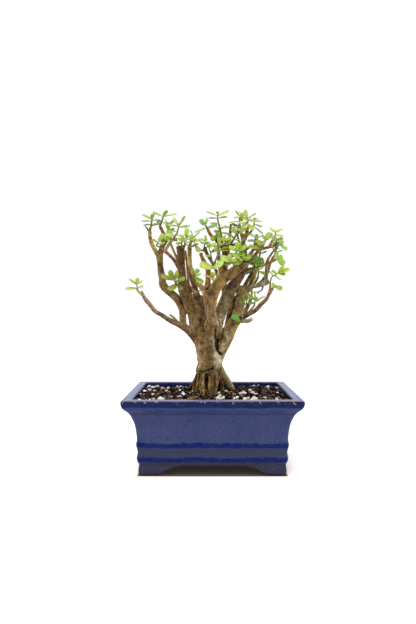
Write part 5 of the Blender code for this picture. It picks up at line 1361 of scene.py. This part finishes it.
# Bark colours by kind, and where each kind is found: at a branch's foot and at its tip
BARK = {
    "brown": (0.19, 0.11, 0.042),
    "warm_brown": (0.28, 0.165, 0.056),
    "dark_brown": (0.13, 0.07, 0.026),
    "deep_brown": (0.085, 0.05, 0.018),
    # Painted highlight on the roots' ridges
    "root_ridge_highlight": (0.38, 0.235, 0.085),
    "olive": (0.2, 0.135, 0.05),
    "light_olive": (0.27, 0.19, 0.07),
    "dark_olive": (0.15, 0.12, 0.037),
    "grey_tan": (0.31, 0.215, 0.13),
    # Painted highlight, pink tan
    "pink_tan_highlight": (0.36, 0.25, 0.165),
    "tan": (0.31, 0.19, 0.085),
    "yellow_tan": (0.42, 0.33, 0.11),
    "yellow_olive": (0.28, 0.22, 0.055),
    "yellow_green": (0.36, 0.37, 0.11),
    "orange": (0.42, 0.2, 0.07),
    "orange_brown": (0.3, 0.15, 0.055),
    "red_brown": (0.12, 0.05, 0.022),
    "pink": (0.36, 0.19, 0.115),
    "dark": (0.035, 0.023, 0.018),
    "dark_red": (0.07, 0.025, 0.014),
    "ochre": (0.21, 0.105, 0.027),
    "pale": (0.43, 0.37, 0.28),
    # Pale green lichen with painted rim light
    "lichen_and_rim_light": (0.43, 0.42, 0.28),
    "pale_olive": (0.29, 0.25, 0.12),
    "blackish": (0.012, 0.009, 0.008),
}
DEFAULT_LOOK = ("brown", "olive")
WOOD_LOOKS = {
    "trunk": ("olive", "brown"), "limb_left": ("brown", "dark_brown"),
    "stub_behind": ("dark_brown", "warm_brown"), "limb_far_left": ("brown", "olive"),
    "far_left_outer": ("yellow_olive", "yellow_tan"), "far_left_dead_tip": ("brown", "blackish"),
    "far_left_stub": ("brown", "olive"), "far_left_inner": ("olive", "pink"),
    "cross_twig": ("brown", "pink"), "cross_twig_riser": ("pink", "yellow_green"),
    "left_side_twig": ("olive", "yellow_olive"), "orange_twig": ("tan", "yellow_tan"),
    "tan_stub": ("orange", "yellow_tan"), "limb_middle": ("brown", "tan"),
    "limb_diagonal": ("warm_brown", "warm_brown"), "diagonal_end": ("olive", "yellow_olive"),
    "orange_side_twig": ("orange", "dark_red"), "side_twig_riser": ("orange", "yellow_olive"),
    "red_stub": ("warm_brown", "orange"), "front_spur": ("orange_brown", "yellow_green"),
    "front_stub": ("olive", "dark_olive"), "front_stub_side": ("dark_olive", "yellow_olive"),
    "upright_stub": ("warm_brown", "dark_brown"), "upright_stub_riser": ("olive", "olive"),
    "upright_stub_left": ("brown", "orange"), "top_right_twig": ("brown", "yellow_olive"),
    "top_rear_twig": ("red_brown", "olive"), "top_right_side": ("yellow_olive", "yellow_green"),
    "black_tip_twig": ("brown", "olive"), "red_rear_twig": ("tan", "orange"),
    "fine_cross_twig": ("dark_olive", "olive"), "fine_front_twig": ("dark_brown", "orange_brown"),
    "limb_behind": ("pale_olive", "red_brown"), "limb_right": ("light_olive", "light_olive"),
    "limb_thin": ("tan", "olive"), "knob_branch": ("light_olive", "pale"),
    "knob_riser": ("yellow_olive", "olive"), "red_side_branch": ("dark_brown", "orange"),
    "right_rear_twig": ("brown", "red_brown"), "knob_fine_twig": ("brown", "yellow_olive"),
    "dead_twig": ("dark", "blackish"), "low_right_branch": ("dark_olive", "orange_brown"),
    "low_right_fork": ("tan", "tan"), "low_right_riser": ("dark_olive", "yellow_green"),
    "pink_stub": ("tan", "pale"), "low_left_branch": ("dark_brown", "grey_tan"),
    "low_left_side": ("brown", "yellow_green"), "low_left_end": ("tan", "yellow_tan"),
}
for root_name in ROOTS:
    WOOD_LOOKS["root_" + root_name] = ("deep_brown", "ochre")
WOOD_LOOKS["root_right"] = ("pale_olive", "olive")
# Painted shade: the middle root, in the hollow behind the front roots, is near black
WOOD_LOOKS["root_middle"] = ("blackish", "blackish")
# Creases at the front, pushed in and darkened as painted shade: each as its route (x, z), its width, its
# depth and how dark its painted shade is
CREASES = [
    ([(4.6, 161), (4.8, 153), (5.4, 142), (7.4, 135), (10.6, 131)], 1.5, 2.6, 0.88),
    ([(-9.5, 201), (-8.2, 185), (-6.5, 169), (-10, 158)], 1.3, 1.2, 0.4),
    ([(-19.4, 109.4), (-12.2, 110), (-5, 112.4), (1, 114.5)], 1.1, 1.2, 0.85),
    ([(-15.4, 107), (-15.9, 94.4), (-16.5, 80)], 0.9, 1.6, 0.9),
    ([(-7.4, 107), (-7.4, 91.4), (-7, 78)], 1.0, 1.8, 0.92),
    ([(3.4, 104), (3.4, 91), (3.2, 80)], 0.8, 1.0, 0.6),
    ([(9.2, 108), (10.2, 97), (11.5, 80)], 1.7, 2.0, 0.94),
]
CREASE_BEFORE = 6.0
CREASE_FACING = -2
# Marks seen from the front: place (x, z), half width and half height, colour and strength.
# Some are painted light and shade: the pink-tan strips on the trunk's left side and the middle
# limb's left ridge and the strips on the roots' ridges are painted highlights; the deep-brown
# patches on the trunk's middle and between the roots and the dark-brown strip left of the middle
# limb are painted shade; the pale-green patches on the right sides are lichen with painted rim
# light; the dark-red patch in the crotch high on the right is reddish debris in painted deep shadow.
BARK_MARKS = [
    (1.2, 145, 3.4, 9, "lichen_and_rim_light", 0.7), (6.5, 124, 6.5, 12, "lichen_and_rim_light", 0.95),
    (-16, 130, 4, 20, "pink_tan_highlight", 0.6), (-3, 132, 6, 20, "deep_brown", 0.75),
    (20, 152, 4.2, 8, "lichen_and_rim_light", 0.65), (13, 136.5, 3.6, 4, "lichen_and_rim_light", 0.65),
    (11, 151, 5, 10, "red_brown", 1.0), (14, 143, 4, 1.1, "pale", 0.9),
    (22, 163.5, 7, 2.2, "orange_brown", 0.8), (26, 170, 5, 5, "dark_olive", 0.8),
    (27, 186, 3, 12, "dark_brown", 0.6), (8.5, 171, 4.5, 6, "lichen_and_rim_light", 0.75),
    (-5.6, 176, 1.7, 13, "pink_tan_highlight", 0.85), (-13, 176, 2.6, 15, "dark_brown", 0.6),
    (-10.5, 96, 1.8, 14, "root_ridge_highlight", 0.9), (-17.5, 93, 1.6, 11, "root_ridge_highlight", 0.8),
    (1.5, 94, 2.8, 12, "deep_brown", 0.75), (-4.2, 94, 1.3, 12, "root_ridge_highlight", 0.8),
    (6.2, 97, 1.3, 12, "root_ridge_highlight", 0.8), (36, 179, 3, 4, "pale", 0.7),
    (-19, 189, 2.6, 2.2, "orange", 0.8), (23, 215, 7, 5.5, "dark_red", 0.85),
    (40, 242, 7, 2.4, "dark", 0.8), (15, 191, 5, 4, "pale_olive", 0.6), (-27, 160, 6, 5, "grey_tan", 0.6),
    (-2, 205, 6, 5, "dark_brown", 0.7), (2, 176, 3, 14, "tan", 0.5),
]
CUT_ENDS = (
    "limb_left", "stub_behind", "limb_middle", "limb_diagonal", "upright_stub", "tan_stub",
    "front_stub", "far_left_stub", "top_rear_twig", "limb_far_left", "low_left_branch",
)
CUT_COLOUR = (0.026, 0.017, 0.012)
BARK_SHADOW = (0.6, 0.53, 0.44)
BARK_LIGHT = (1.8, 1.7, 1.45)
BARK_PALE = (0.42, 0.32, 0.18)
LICHEN = (0.3, 0.32, 0.2)
# Noise of the bark: lumps a metre, detail and roughness
MOTTLE = (260, 5, 0.7)
MOTTLE_STRETCH = (1, 1, 0.7)
BARK_SPECKS = (900, 3, 0.7)
BARK_CRACKS = 420
LICHEN_SPOTS = ((120, 5, 0.65), (0.6, 0.72, 0, 0.35))
# The mottle's and specks' spans that make the bark darker, lighter and rougher
MOTTLE_DARK = (0.5, 0.38)
MOTTLE_LIGHT = (0.54, 0.68, 0, 0.75)
SPECK_LIGHT = (0.56, 0.68, 0, 0.5)
MOTTLE_ROUGHNESS = (0.3, 0.7, 0.85, 0.62)
PALE_SHARE = 0.4
# How far cracks and specks raise the bark beside its mottle
CRACK_RELIEF = 0.5
SPECK_RELIEF = 0.3


def wood_samples(routes):
    """Rows along every branch: place, radius, direction, distance from its foot, share of its
    length, branch number and colour."""
    rows = []
    for number, (name, route) in enumerate(routes.items()):
        foot, tip = [np.array(BARK[colour]) for colour in WOOD_LOOKS.get(name, DEFAULT_LOOK)]
        steps = np.linalg.norm(np.diff(route[:, :3], axis=0), axis=1)
        along = np.concatenate([[0], np.cumsum(steps)])
        heading = np.gradient(route[:, :3], axis=0)
        heading /= np.linalg.norm(heading, axis=1)[:, None]
        for row, direction, distance in zip(route, heading, along):
            share = distance / along[-1]
            rows.append([*row, *direction, distance, share, number, *(foot + (tip - foot) * share)])
    return np.array(rows)


def nearest_rows(points, rows):
    """The row that each point lies on, and its blend of the bark colours round it."""
    nearest = np.empty(len(points), int)
    colours = np.empty((len(points), 3))
    for start in range(0, len(points), CHUNK):
        part = slice(start, start + CHUNK)
        away = np.linalg.norm(points[part][:, None] - rows[None, :, :3], axis=2)
        depth = np.abs(away - rows[None, :, RADIUS])
        nearest[part] = depth.argmin(axis=1)
        weights = np.exp(-depth / BARK_BLEND)
        colours[part] = weights @ rows[:, COLOUR] / weights.sum(axis=1)[:, None]
    return rows[nearest], colours


def ring_places(length, thickness, chance):
    """Where the old leaf nodes ring a branch, closer together on a thin one."""
    places = []
    at = chance.uniform(*RING_FIRST)
    while at < length:
        places.append(at)
        at += chance.uniform(*RING_SPACING) * (RING_CLOSEST + thickness / RING_THICK)
    return np.array(places or [-100.0])


def node_rings(own, distance, rows, routes):
    """How close each point is to an old leaf node: 1 on its ring, and 0 away from it."""
    chance = random.Random(RING_SEED)
    ring = np.zeros(len(own))
    for number, route in enumerate(routes.values()):
        mine = own[:, BRANCH] == number
        length = rows[rows[:, BRANCH] == number][-1, DISTANCE]
        places = ring_places(length, route[:, RADIUS].max(), chance)
        off = np.abs(distance[mine][:, None] - places[None, :]).min(axis=1)
        ring[mine] = np.exp(-(off / RING_WIDTH) ** 2)
    return ring


def vertex_rows(mesh, name):
    rows = np.empty(len(mesh.vertices) * 3, np.float32)
    mesh.vertices.foreach_get(name, rows)
    return rows.reshape(-1, 3).astype(float)


def noise_at(points, size=1.0):
    """Noise at each point, with lumps of a size."""
    return np.array([noise.noise(Vector(point) / size) for point in points])


def weather(made, routes, lump, ring_height):
    """Gives wood its lumps, node rings, cut ends and colours, by the branch each point is on, with painted
    shade in its hollows and creases and painted light on its sides.
    """
    mesh = made.data
    points = vertex_rows(mesh, "co") / MM
    normals = vertex_rows(mesh, "normal")
    rows = wood_samples(routes)
    own, colours = nearest_rows(points, rows)
    heading = own[:, DIRECTION]
    past = np.einsum("ij,ij->i", points - own[:, :3], heading)
    distance = own[:, DISTANCE] + past
    ring = node_rings(own, distance, rows, routes)
    broad = noise_at(points, LUMP_SIZE)
    fine = noise_at(points, FINE_LUMP_SIZE)
    patchy = noise_at(points, PATCH_SIZE)
    outward = points - own[:, :3] - past[:, None] * heading
    drawn_out = (outward + STREAK_SHIFT * own[:, [BRANCH]]) / STREAK_WIDTH
    streak = noise_at(drawn_out + heading * (distance / STREAK_LENGTH)[:, None])
    share = np.clip(own[:, RADIUS] / LUMP_RADIUS, LUMP_LEAST, 1)
    offset = lump * (broad + FINE_LUMPS * fine + STREAK_LUMPS * streak) * share
    offset += ring_height * ring * np.clip(RING_STRENGTH + patchy, 0, 1) * share ** 0.5
    # Creases are pushed in and darkened as painted shade
    in_front = np.clip(CREASE_FACING * normals[:, 1], 0, 1) * (points[:, 1] < CREASE_BEFORE)
    crease_shade = np.zeros(len(points))
    for route, width, depth, dark in CREASES:
        near = np.exp(-(flat_distance(points, route) / width) ** 2) * in_front
        offset = offset - depth * near
        crease_shade = np.maximum(crease_shade, dark * near)
    moved = points + normals * offset[:, None]
    mesh.vertices.foreach_set("co", (moved * MM).astype(np.float32).ravel())
    # Painted light: paler where the surface faces sideways
    sides = np.clip((np.abs(normals[:, 0]) - SIDE_FROM) / (1 - SIDE_FROM), 0, 1)
    shade = BARK_GAIN + BROAD_SHADE * broad + PATCH_SHADE * patchy + STREAK_SHADE * streak
    shade += FINE_SHADE * fine - RING_SHADE * ring
    shade = np.clip(shade * (1 + SIDE_PAINTED_LIGHT * sides), *SHADE_RANGE)
    # Painted shade: darker in the mesh's hollows and along the creases
    shade *= (1 - HOLLOW_SHADE * hollows(mesh, moved, normals)) * (1 - crease_shade)
    front = np.clip(MARK_FACING * normals[:, 1] + MARK_FRONT, 0, 1)
    for x, z, half_width, half_height, colour, strength in BARK_MARKS:
        off = np.hypot((points[:, 0] - x) / half_width, (points[:, 2] - z) / half_height)
        mark = strength * front * np.clip(MARK_EDGE * (MARK_REACH - off + MARK_WANDER * fine), 0, 1)
        colours = blended(colours, BARK[colour], mark)
    numbers = [index for index, name in enumerate(routes) if name in CUT_ENDS]
    at_end = np.isin(own[:, BRANCH], numbers) & (own[:, SHARE] > CUT_SHARE) & (past > -CUT_BEFORE)
    flat = np.abs(np.einsum("ij,ij->i", normals, heading))
    capped = np.where(at_end, np.clip((flat - CUT_FACING) / CUT_FADE, 0, 1), 0)
    colours = blended(colours * shade[:, None], CUT_COLOUR, capped)
    tint = np.column_stack([colours, np.ones(len(points))])
    for name, kind, field, values in (
        ("bark_tint", "FLOAT_COLOR", "color", tint), ("bark_cut", "FLOAT", "value", capped)
    ):
        attribute_data = mesh.attributes.new(name, kind, "POINT").data
        attribute_data.foreach_set(field, values.astype(np.float32).ravel())
    mesh.update()


def blended(colours, over, shares):
    """A row of colours with one colour laid over each, by its share."""
    return colours * (1 - shares[:, None]) + np.array(over) * shares[:, None]


def hollows(mesh, points, normals):
    """How deep each point lies under its surroundings: 1 in a crease, and 0 on a ridge."""
    count = len(points)
    pairs = np.empty(len(mesh.edges) * 2, np.int32)
    mesh.edges.foreach_get("vertices", pairs)
    first, second = pairs.reshape(-1, 2).T
    degree = np.maximum(1, np.bincount(first, minlength=count) + np.bincount(second, minlength=count))
    around = points.copy()
    for _ in range(HOLLOW_ROUNDS):
        sums = [
            np.bincount(first, around[second, axis], count) + np.bincount(second, around[first, axis], count)
            for axis in range(3)
        ]
        around = np.column_stack(sums) / degree[:, None]
    return np.clip(np.einsum("ij,ij->i", around - points, normals) / HOLLOW_DEPTH, 0, 1)


def flat_distance(points, route):
    """How far each point is, seen from the front, from a route of places (x, z)."""
    seen = points[:, [0, 2]]
    nearest = np.full(len(points), NO_LIMIT)
    for start, end in zip(route, route[1:]):
        start = np.array(start, float)
        step = np.array(end, float) - start
        share = np.clip((seen - start) @ step / (step @ step), 0, 1)
        nearest = np.minimum(nearest, np.linalg.norm(seen - start - share[:, None] * step, axis=1))
    return nearest


def bark_finish():
    """Grey-brown bark with fine cracks and upright mottling, and pale lichen off its cut ends."""
    material, shader, place = new_finish(
        "brown_bark", 0.75, Specular_IOR_Level=0.08, Sheen_Weight=0.2, Sheen_Roughness=0.4,
        Sheen_Tint=(1.0, 0.9, 0.72, 1.0),
    )
    tint = attribute(shader, "bark_tint", "Color")
    mottle = noisy(place, *MOTTLE, stretch=MOTTLE_STRETCH)
    speck = noisy(place, *BARK_SPECKS)
    light = mixed(PALE_SHARE, mixed(1.0, tint, BARK_LIGHT, "MULTIPLY"), BARK_PALE)
    lichen = times(spots(place, *LICHEN_SPOTS), minus(1.0, attribute(shader, "bark_cut")))
    shadow = mixed(1.0, tint, BARK_SHADOW, "MULTIPLY")
    colour = layered(mixed(ramp(mottle, *MOTTLE_DARK), tint, shadow), [
        (ramp(mottle, *MOTTLE_LIGHT), light),
        (ramp(speck, *SPECK_LIGHT), light),
        (lichen, LICHEN),
    ])
    feed(shader, Base_Color=colour, Roughness=ramp(mottle, *MOTTLE_ROUGHNESS))
    inputs = {"Vector": place, "Scale": BARK_CRACKS}
    cracks = put(shader, "TexVoronoi", inputs, feature="DISTANCE_TO_EDGE").outputs["Distance"]
    height = plus(times(cracks, CRACK_RELIEF), mottle, times(speck, SPECK_RELIEF))
    relief(shader, height, distance=0.001, strength=0.7)
    return material


def make_wood():
    """Thick wood and roots as one weathered body, and thin twigs as smooth tubes grown from it."""
    bark = bark_finish()
    thick = {}
    thin = {}
    for name, points in WOOD.items():
        widest = max(point[3] for point in points)
        group = thick if widest >= THICK_BRANCH else thin
        group[name] = smooth_route(points, ROUTE_STEP)
    for name, points in ROOTS.items():
        thick["root_" + name] = smooth_route(buried(points, ROOT_DEPTH), ROUTE_STEP)
    for number, (stem, _) in enumerate(SHOOTS):
        if not twig_end(stem):
            thin[f"nub_{number}"] = smooth_route(shoot_nub(stem), ROUTE_STEP)
    body = finished(welded_tubes(thick.values(), TUBE_SIDES), "trunk_and_limbs", bark)
    grid = body.modifiers.new("grid", "REMESH")
    grid.mode = "VOXEL"
    grid.voxel_size = WOOD_VOXEL * MM
    apply_modifiers(body)
    shape = bmesh.new()
    shape.from_mesh(body.data)
    for _ in range(WOOD_SMOOTHINGS):
        bmesh.ops.smooth_vert(
            shape, verts=shape.verts, factor=0.5, use_axis_x=True, use_axis_y=True, use_axis_z=True
        )
    shape.to_mesh(body.data)
    shape.free()
    weather(body, thick, *LIMB_RELIEF)
    body.data.shade_smooth()
    dress(body, "brown_bark", "trunk")
    twigs = finished(welded_tubes(thin.values(), TWIG_TUBE_SIDES), "thin_twigs", bark, TWIG_SHARP_ANGLE)
    weather(twigs, thin, *TWIG_RELIEF)
    dress(twigs, "brown_bark", "trunk")


# The leafy shoots

SHOOT_SEED = 100
STEM_STEP = 1.5
STEM_SIDES = 8
STEM_SINK = 0.8
STEM_FOOT = 0.95
STEM_TIP = 0.6
# A blade is drawn from a ball: its facets, how far it is cupped, bent and twisted, how far its
# middle moves to the tip, how wide and thick it is at its foot, and the groove along it
BLADE_SIDES = 8
BLADE_STEPS = 8
BLADE_CUP = (0.02, 0.14)
BLADE_CUP_LEVEL = 0.3
BLADE_BEND = (-0.14, 0.08)
BLADE_BEND_FROM = 0.5
BLADE_TWIST = (-0.12, 0.12)
BLADE_SHIFT = 0.2
BLADE_FOOT_WIDTH = 0.68
BLADE_WIDENING = 0.34
BLADE_FOOT_THICKNESS = 0.75
BLADE_GROOVE = 0.3
BLADE_GROOVE_WIDTH = 0.25
# Buds: how far a pair leans out, in degrees, and how long its leaves are
BUD_PAIRS = [(38, 4.2), (22, 2.6)]
BUD_SINK = 0.4
BUD_SHARE = 1.2
BUD_TURN = 0.2
BUD_LEAN = 8
BUD_LENGTH = (0.8, 1.2)
BUD_SHAPE = (0.5, 0.62)
LEAF_SHADE = (0.7, 0.77, 0.6)
LEAF_PALE = (0.5, 0.6, 0.19)
LEAF_RIM = (0.46, 0.56, 0.14)
LEAF_CLOUDS = (420, 3)
LEAF_CLOUD_SPAN = (0.4, 0.65)
LEAF_SPECKS = (1600, 2)
LEAF_SPECK_SPAN = (0.6, 0.72, 0, 0.3)
LEAF_ROUGHNESS = (0.3, 0.7, 0.42, 0.3)
# Where across or along a leaf its midrib, rim and foot turn paler, and how strongly
MIDRIB = (0.16, 0.02, 0, 0.35)
RIM = (0.8, 0.98, 0, 0.45)
FOOT = (0.18, 0.02, 0, 0.5)
# How far clouds and specks raise the leaf
CLOUD_RELIEF = 0.6
LEAF_SPECK_RELIEF = 0.25
# How leaves of one shoot differ: in age, light and warmth
LEAF_AGE_SWAY = 0.35
LEAF_LIGHT = (0.82, 1.2)
LEAF_WARMTH = (0.9, 1.12)
# Colours by look: a shoot's old leaves, its young ones, and its stem's foot and tip
SHOOT_LOOKS = {
    "mid": ((0.21, 0.33, 0.035), (0.46, 0.6, 0.1), (0.22, 0.15, 0.055), (0.28, 0.31, 0.08)),
    "pale": ((0.38, 0.49, 0.085), (0.63, 0.74, 0.19), (0.24, 0.17, 0.06), (0.38, 0.43, 0.15)),
    "yellow": ((0.36, 0.43, 0.05), (0.6, 0.65, 0.1), (0.26, 0.18, 0.06), (0.4, 0.42, 0.11)),
    "bright": ((0.21, 0.42, 0.035), (0.47, 0.66, 0.09), (0.22, 0.17, 0.055), (0.3, 0.38, 0.08)),
    "olive": ((0.18, 0.24, 0.03), (0.39, 0.46, 0.065), (0.17, 0.11, 0.045), (0.22, 0.2, 0.06)),
    "bluish": ((0.14, 0.31, 0.075), (0.36, 0.57, 0.18), (0.17, 0.12, 0.05), (0.2, 0.28, 0.11)),
    "dark": ((0.08, 0.21, 0.025), (0.2, 0.39, 0.045), (0.14, 0.09, 0.04), (0.15, 0.2, 0.05)),
    "emerald": ((0.06, 0.36, 0.05), (0.14, 0.48, 0.08), (0.2, 0.16, 0.055), (0.2, 0.34, 0.07)),
}
SHOOTS_BY_LOOK = {
    "pale": (3, 5, 6, 12, 13, 19, 20, 24, 40),
    "yellow": (17, 29, 43),
    "bright": (4, 23, 25, 31, 33, 37, 42),
    "emerald": (39,),
    "olive": (16, 18, 26, 41),
    "bluish": (14, 21, 22, 30, 32),
    "dark": (27, 36, 38),
}


def leaf_finish():
    """Fleshy leaves: each in its own green, paler at the rim, foot and midrib."""
    material, shader, place = new_finish(
        "jade_leaf", 0.35, Specular_IOR_Level=0.25, Coat_Weight=0.1, Coat_Roughness=0.3,
        Subsurface_Weight=0.12, Subsurface_Scale=0.002,
    )
    tint = attribute(shader, "leaf_tint", "Color")
    blade = split(attribute(shader, "blade", "Vector"))
    along = blade["X"]
    across = maths("ABSOLUTE", blade["Y"])
    on_leaf = blade["Z"]
    clouds = noisy(place, *LEAF_CLOUDS)
    specks = noisy(place, *LEAF_SPECKS)
    deep = mixed(1.0, tint, LEAF_SHADE, "MULTIPLY")
    colour = layered(mixed(ramp(clouds, *LEAF_CLOUD_SPAN), deep, tint), [
        (ramp(specks, *LEAF_SPECK_SPAN), LEAF_PALE),
        (times(ramp(across, *MIDRIB), on_leaf), LEAF_PALE),
        (times(ramp(across, *RIM), on_leaf), LEAF_RIM),
        (times(ramp(along, *FOOT), on_leaf), LEAF_PALE),
    ])
    feed(shader, Base_Color=colour, Roughness=ramp(clouds, *LEAF_ROUGHNESS))
    height = plus(times(clouds, CLOUD_RELIEF), times(specks, LEAF_SPECK_RELIEF))
    relief(shader, height, distance=0.0004, strength=0.45)
    return material


def add_blade(shape, leaf, colour, chance, layers):
    """One fleshy blade: a ball drawn out to a narrow foot and a blunt tip, cupped and bent."""
    tint, blade = layers
    ball = bmesh.ops.create_uvsphere(shape, u_segments=BLADE_SIDES, v_segments=BLADE_STEPS, radius=1)
    verts = ball["verts"]
    bmesh.ops.rotate(shape, verts=verts, matrix=Matrix.Rotation(math.radians(90), 3, "Z"))
    cup = chance.uniform(*BLADE_CUP) * leaf.width
    bend = chance.uniform(*BLADE_BEND) * leaf.length
    twist = chance.uniform(*BLADE_TWIST)
    columns = (leaf.along, leaf.across, leaf.face, leaf.base)
    place = Matrix([[float(column[row]) for column in columns] for row in range(3)] + [[0, 0, 0, 1]])
    for vert in verts:
        x, y, z = vert.co
        across = y / max(0.05, math.sqrt(max(0.0, 1 - x * x)))
        x += BLADE_SHIFT * (1 - x * x)
        share = (x + 1) / 2
        y *= BLADE_FOOT_WIDTH + BLADE_WIDENING * (x + 1)
        groove = BLADE_GROOVE * math.exp(-(across / BLADE_GROOVE_WIDTH) ** 2) * share if z > 0 else 0
        thick = (BLADE_THICKNESS / 2) * (BLADE_FOOT_THICKNESS + (1 - BLADE_FOOT_THICKNESS) * share)
        height = z * thick - groove + cup * (y * y - BLADE_CUP_LEVEL) * share
        height += bend * (share * share - share * BLADE_BEND_FROM) + twist * y * leaf.width * share
        length = (leaf.length + LEAF_SINK) * share - LEAF_SINK
        vert.co = place @ Vector((length, y * leaf.width / 2, height))
        vert[tint] = (*colour, 1)
        vert[blade] = (share, max(-1, min(1, across)), 1)


def between(first, second, share):
    return [low + (high - low) * share for low, high in zip(first, second)]


def leaf_colour(look, share, chance):
    """A leaf's green by its shoot's look, from its old leaves' colour to its young leaves'."""
    old, young, _, _ = SHOOT_LOOKS[look]
    age = min(1, max(0, share + chance.uniform(-LEAF_AGE_SWAY, LEAF_AGE_SWAY)))
    light = chance.uniform(*LEAF_LIGHT)
    warm = chance.uniform(*LEAF_WARMTH)
    red, green, blue = [part * light for part in between(old, young, age)]
    return (red * warm, green, blue / warm)


def bud_leaves(stem, chance):
    """The pair or two of tiny leaves just opening at a shoot's tip."""
    tip, along = stem_point(stem, 1.0)
    side = unit(np.cross(along, (0.3, 1.0, 0.1)))
    front = np.cross(along, side)
    turn = chance.uniform(0, math.tau)
    buds = []
    for pair, (spread, size) in enumerate(BUD_PAIRS):
        for half in (0, math.pi):
            angle = turn + math.pi / 2 * pair + half + chance.uniform(-BUD_TURN, BUD_TURN)
            out = side * math.cos(angle) + front * math.sin(angle)
            lean = math.radians(spread + chance.uniform(-BUD_LEAN, BUD_LEAN))
            reach = along * math.cos(lean) + out * math.sin(lean)
            face = along * math.sin(lean) - out * math.cos(lean)
            length = size * chance.uniform(*BUD_LENGTH)
            width = length * chance.uniform(*BUD_SHAPE)
            buds.append(Leaf(tip - along * BUD_SINK, reach, face, length, width))
    return buds


def make_shoot(name, stem, leaves, look, chance, material):
    """One leafy stem, smooth and round, with its leaves and its opening buds."""
    route = smooth_route(seated(stem), STEM_STEP)
    inward = unit(route[0, :3] - route[1, :3])
    foot = np.array([*(route[0, :3] + inward * STEM_SINK), route[0, 3] * STEM_FOOT])
    route = np.vstack([foot, route])
    route[-1, 3] *= STEM_TIP
    shape = welded_tubes([route], STEM_SIDES)
    tint = shape.verts.layers.float_color.new("leaf_tint")
    blade = shape.verts.layers.float_vector.new("blade")
    start = route[0, :3]
    reach = np.linalg.norm(route[-1, :3] - start)
    _, _, low, high = SHOOT_LOOKS[look]
    for vert in shape.verts:
        share = min(1, np.linalg.norm(np.array(vert.co) - start) / reach)
        vert[tint] = (*between(low, high, share), 1)
        vert[blade] = (0.5, 0.5, 0)
    for leaf in leaves:
        share = min(1, np.linalg.norm(leaf.base - start) / reach)
        add_blade(shape, leaf, leaf_colour(look, share, chance), chance, (tint, blade))
    for bud in bud_leaves(stem, chance):
        add_blade(shape, bud, leaf_colour(look, BUD_SHARE, chance), chance, (tint, blade))
    dress(finished(shape, name + "_leaves", material, LEAF_SHARP_ANGLE), "jade_leaf", name)


def make_shoots():
    material = leaf_finish()
    look_of = {number: look for look, numbers in SHOOTS_BY_LOOK.items() for number in numbers}
    for number, ((stem, _), leaves) in enumerate(zip(SHOOTS, place_leaves()), 1):
        chance = random.Random(SHOOT_SEED + number)
        look = look_of.get(number, "mid")
        make_shoot(f"shoot_{number:02d}", stem, leaves, look, chance, material)


# The drainage screens and the whole

SCREEN_DARK = (0.01, 0.01, 0.01)
SCREEN_WORN = (0.035, 0.034, 0.033)
SCREEN_WEAR = (500, 3)


def screen_finish():
    """Black moulded mesh, faintly worn."""
    material, shader, place = new_finish("black_screen", 0.5)
    wear = noisy(place, *SCREEN_WEAR)
    roughness = ramp(wear, 0.3, 0.7, 0.4, 0.65)
    feed(shader, Base_Color=mixed(wear, SCREEN_DARK, SCREEN_WORN), Roughness=roughness)
    relief(shader, wear, distance=0.0003, strength=0.4)
    return material


def root_balls():
    """Balls along the roots and the trunk's foot, to keep grains clear of them."""
    routes = [buried(points, ROOT_DEPTH) for points in ROOTS.values()]
    return np.concatenate([spheres_along(points) for points in routes + [WOOD["trunk"]]])


bpy.context.scene.view_settings.view_transform = "Standard"
set_camera()
set_surround()
set_lamps()
lay_floor()
make_pot()
dress_soil(root_balls())
make_wood()
make_shoots()
plastic = screen_finish()
for side in ("left", "right"):
    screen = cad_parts["drain_screen_" + side]
    screen.data.materials.clear()
    screen.data.materials.append(plastic)
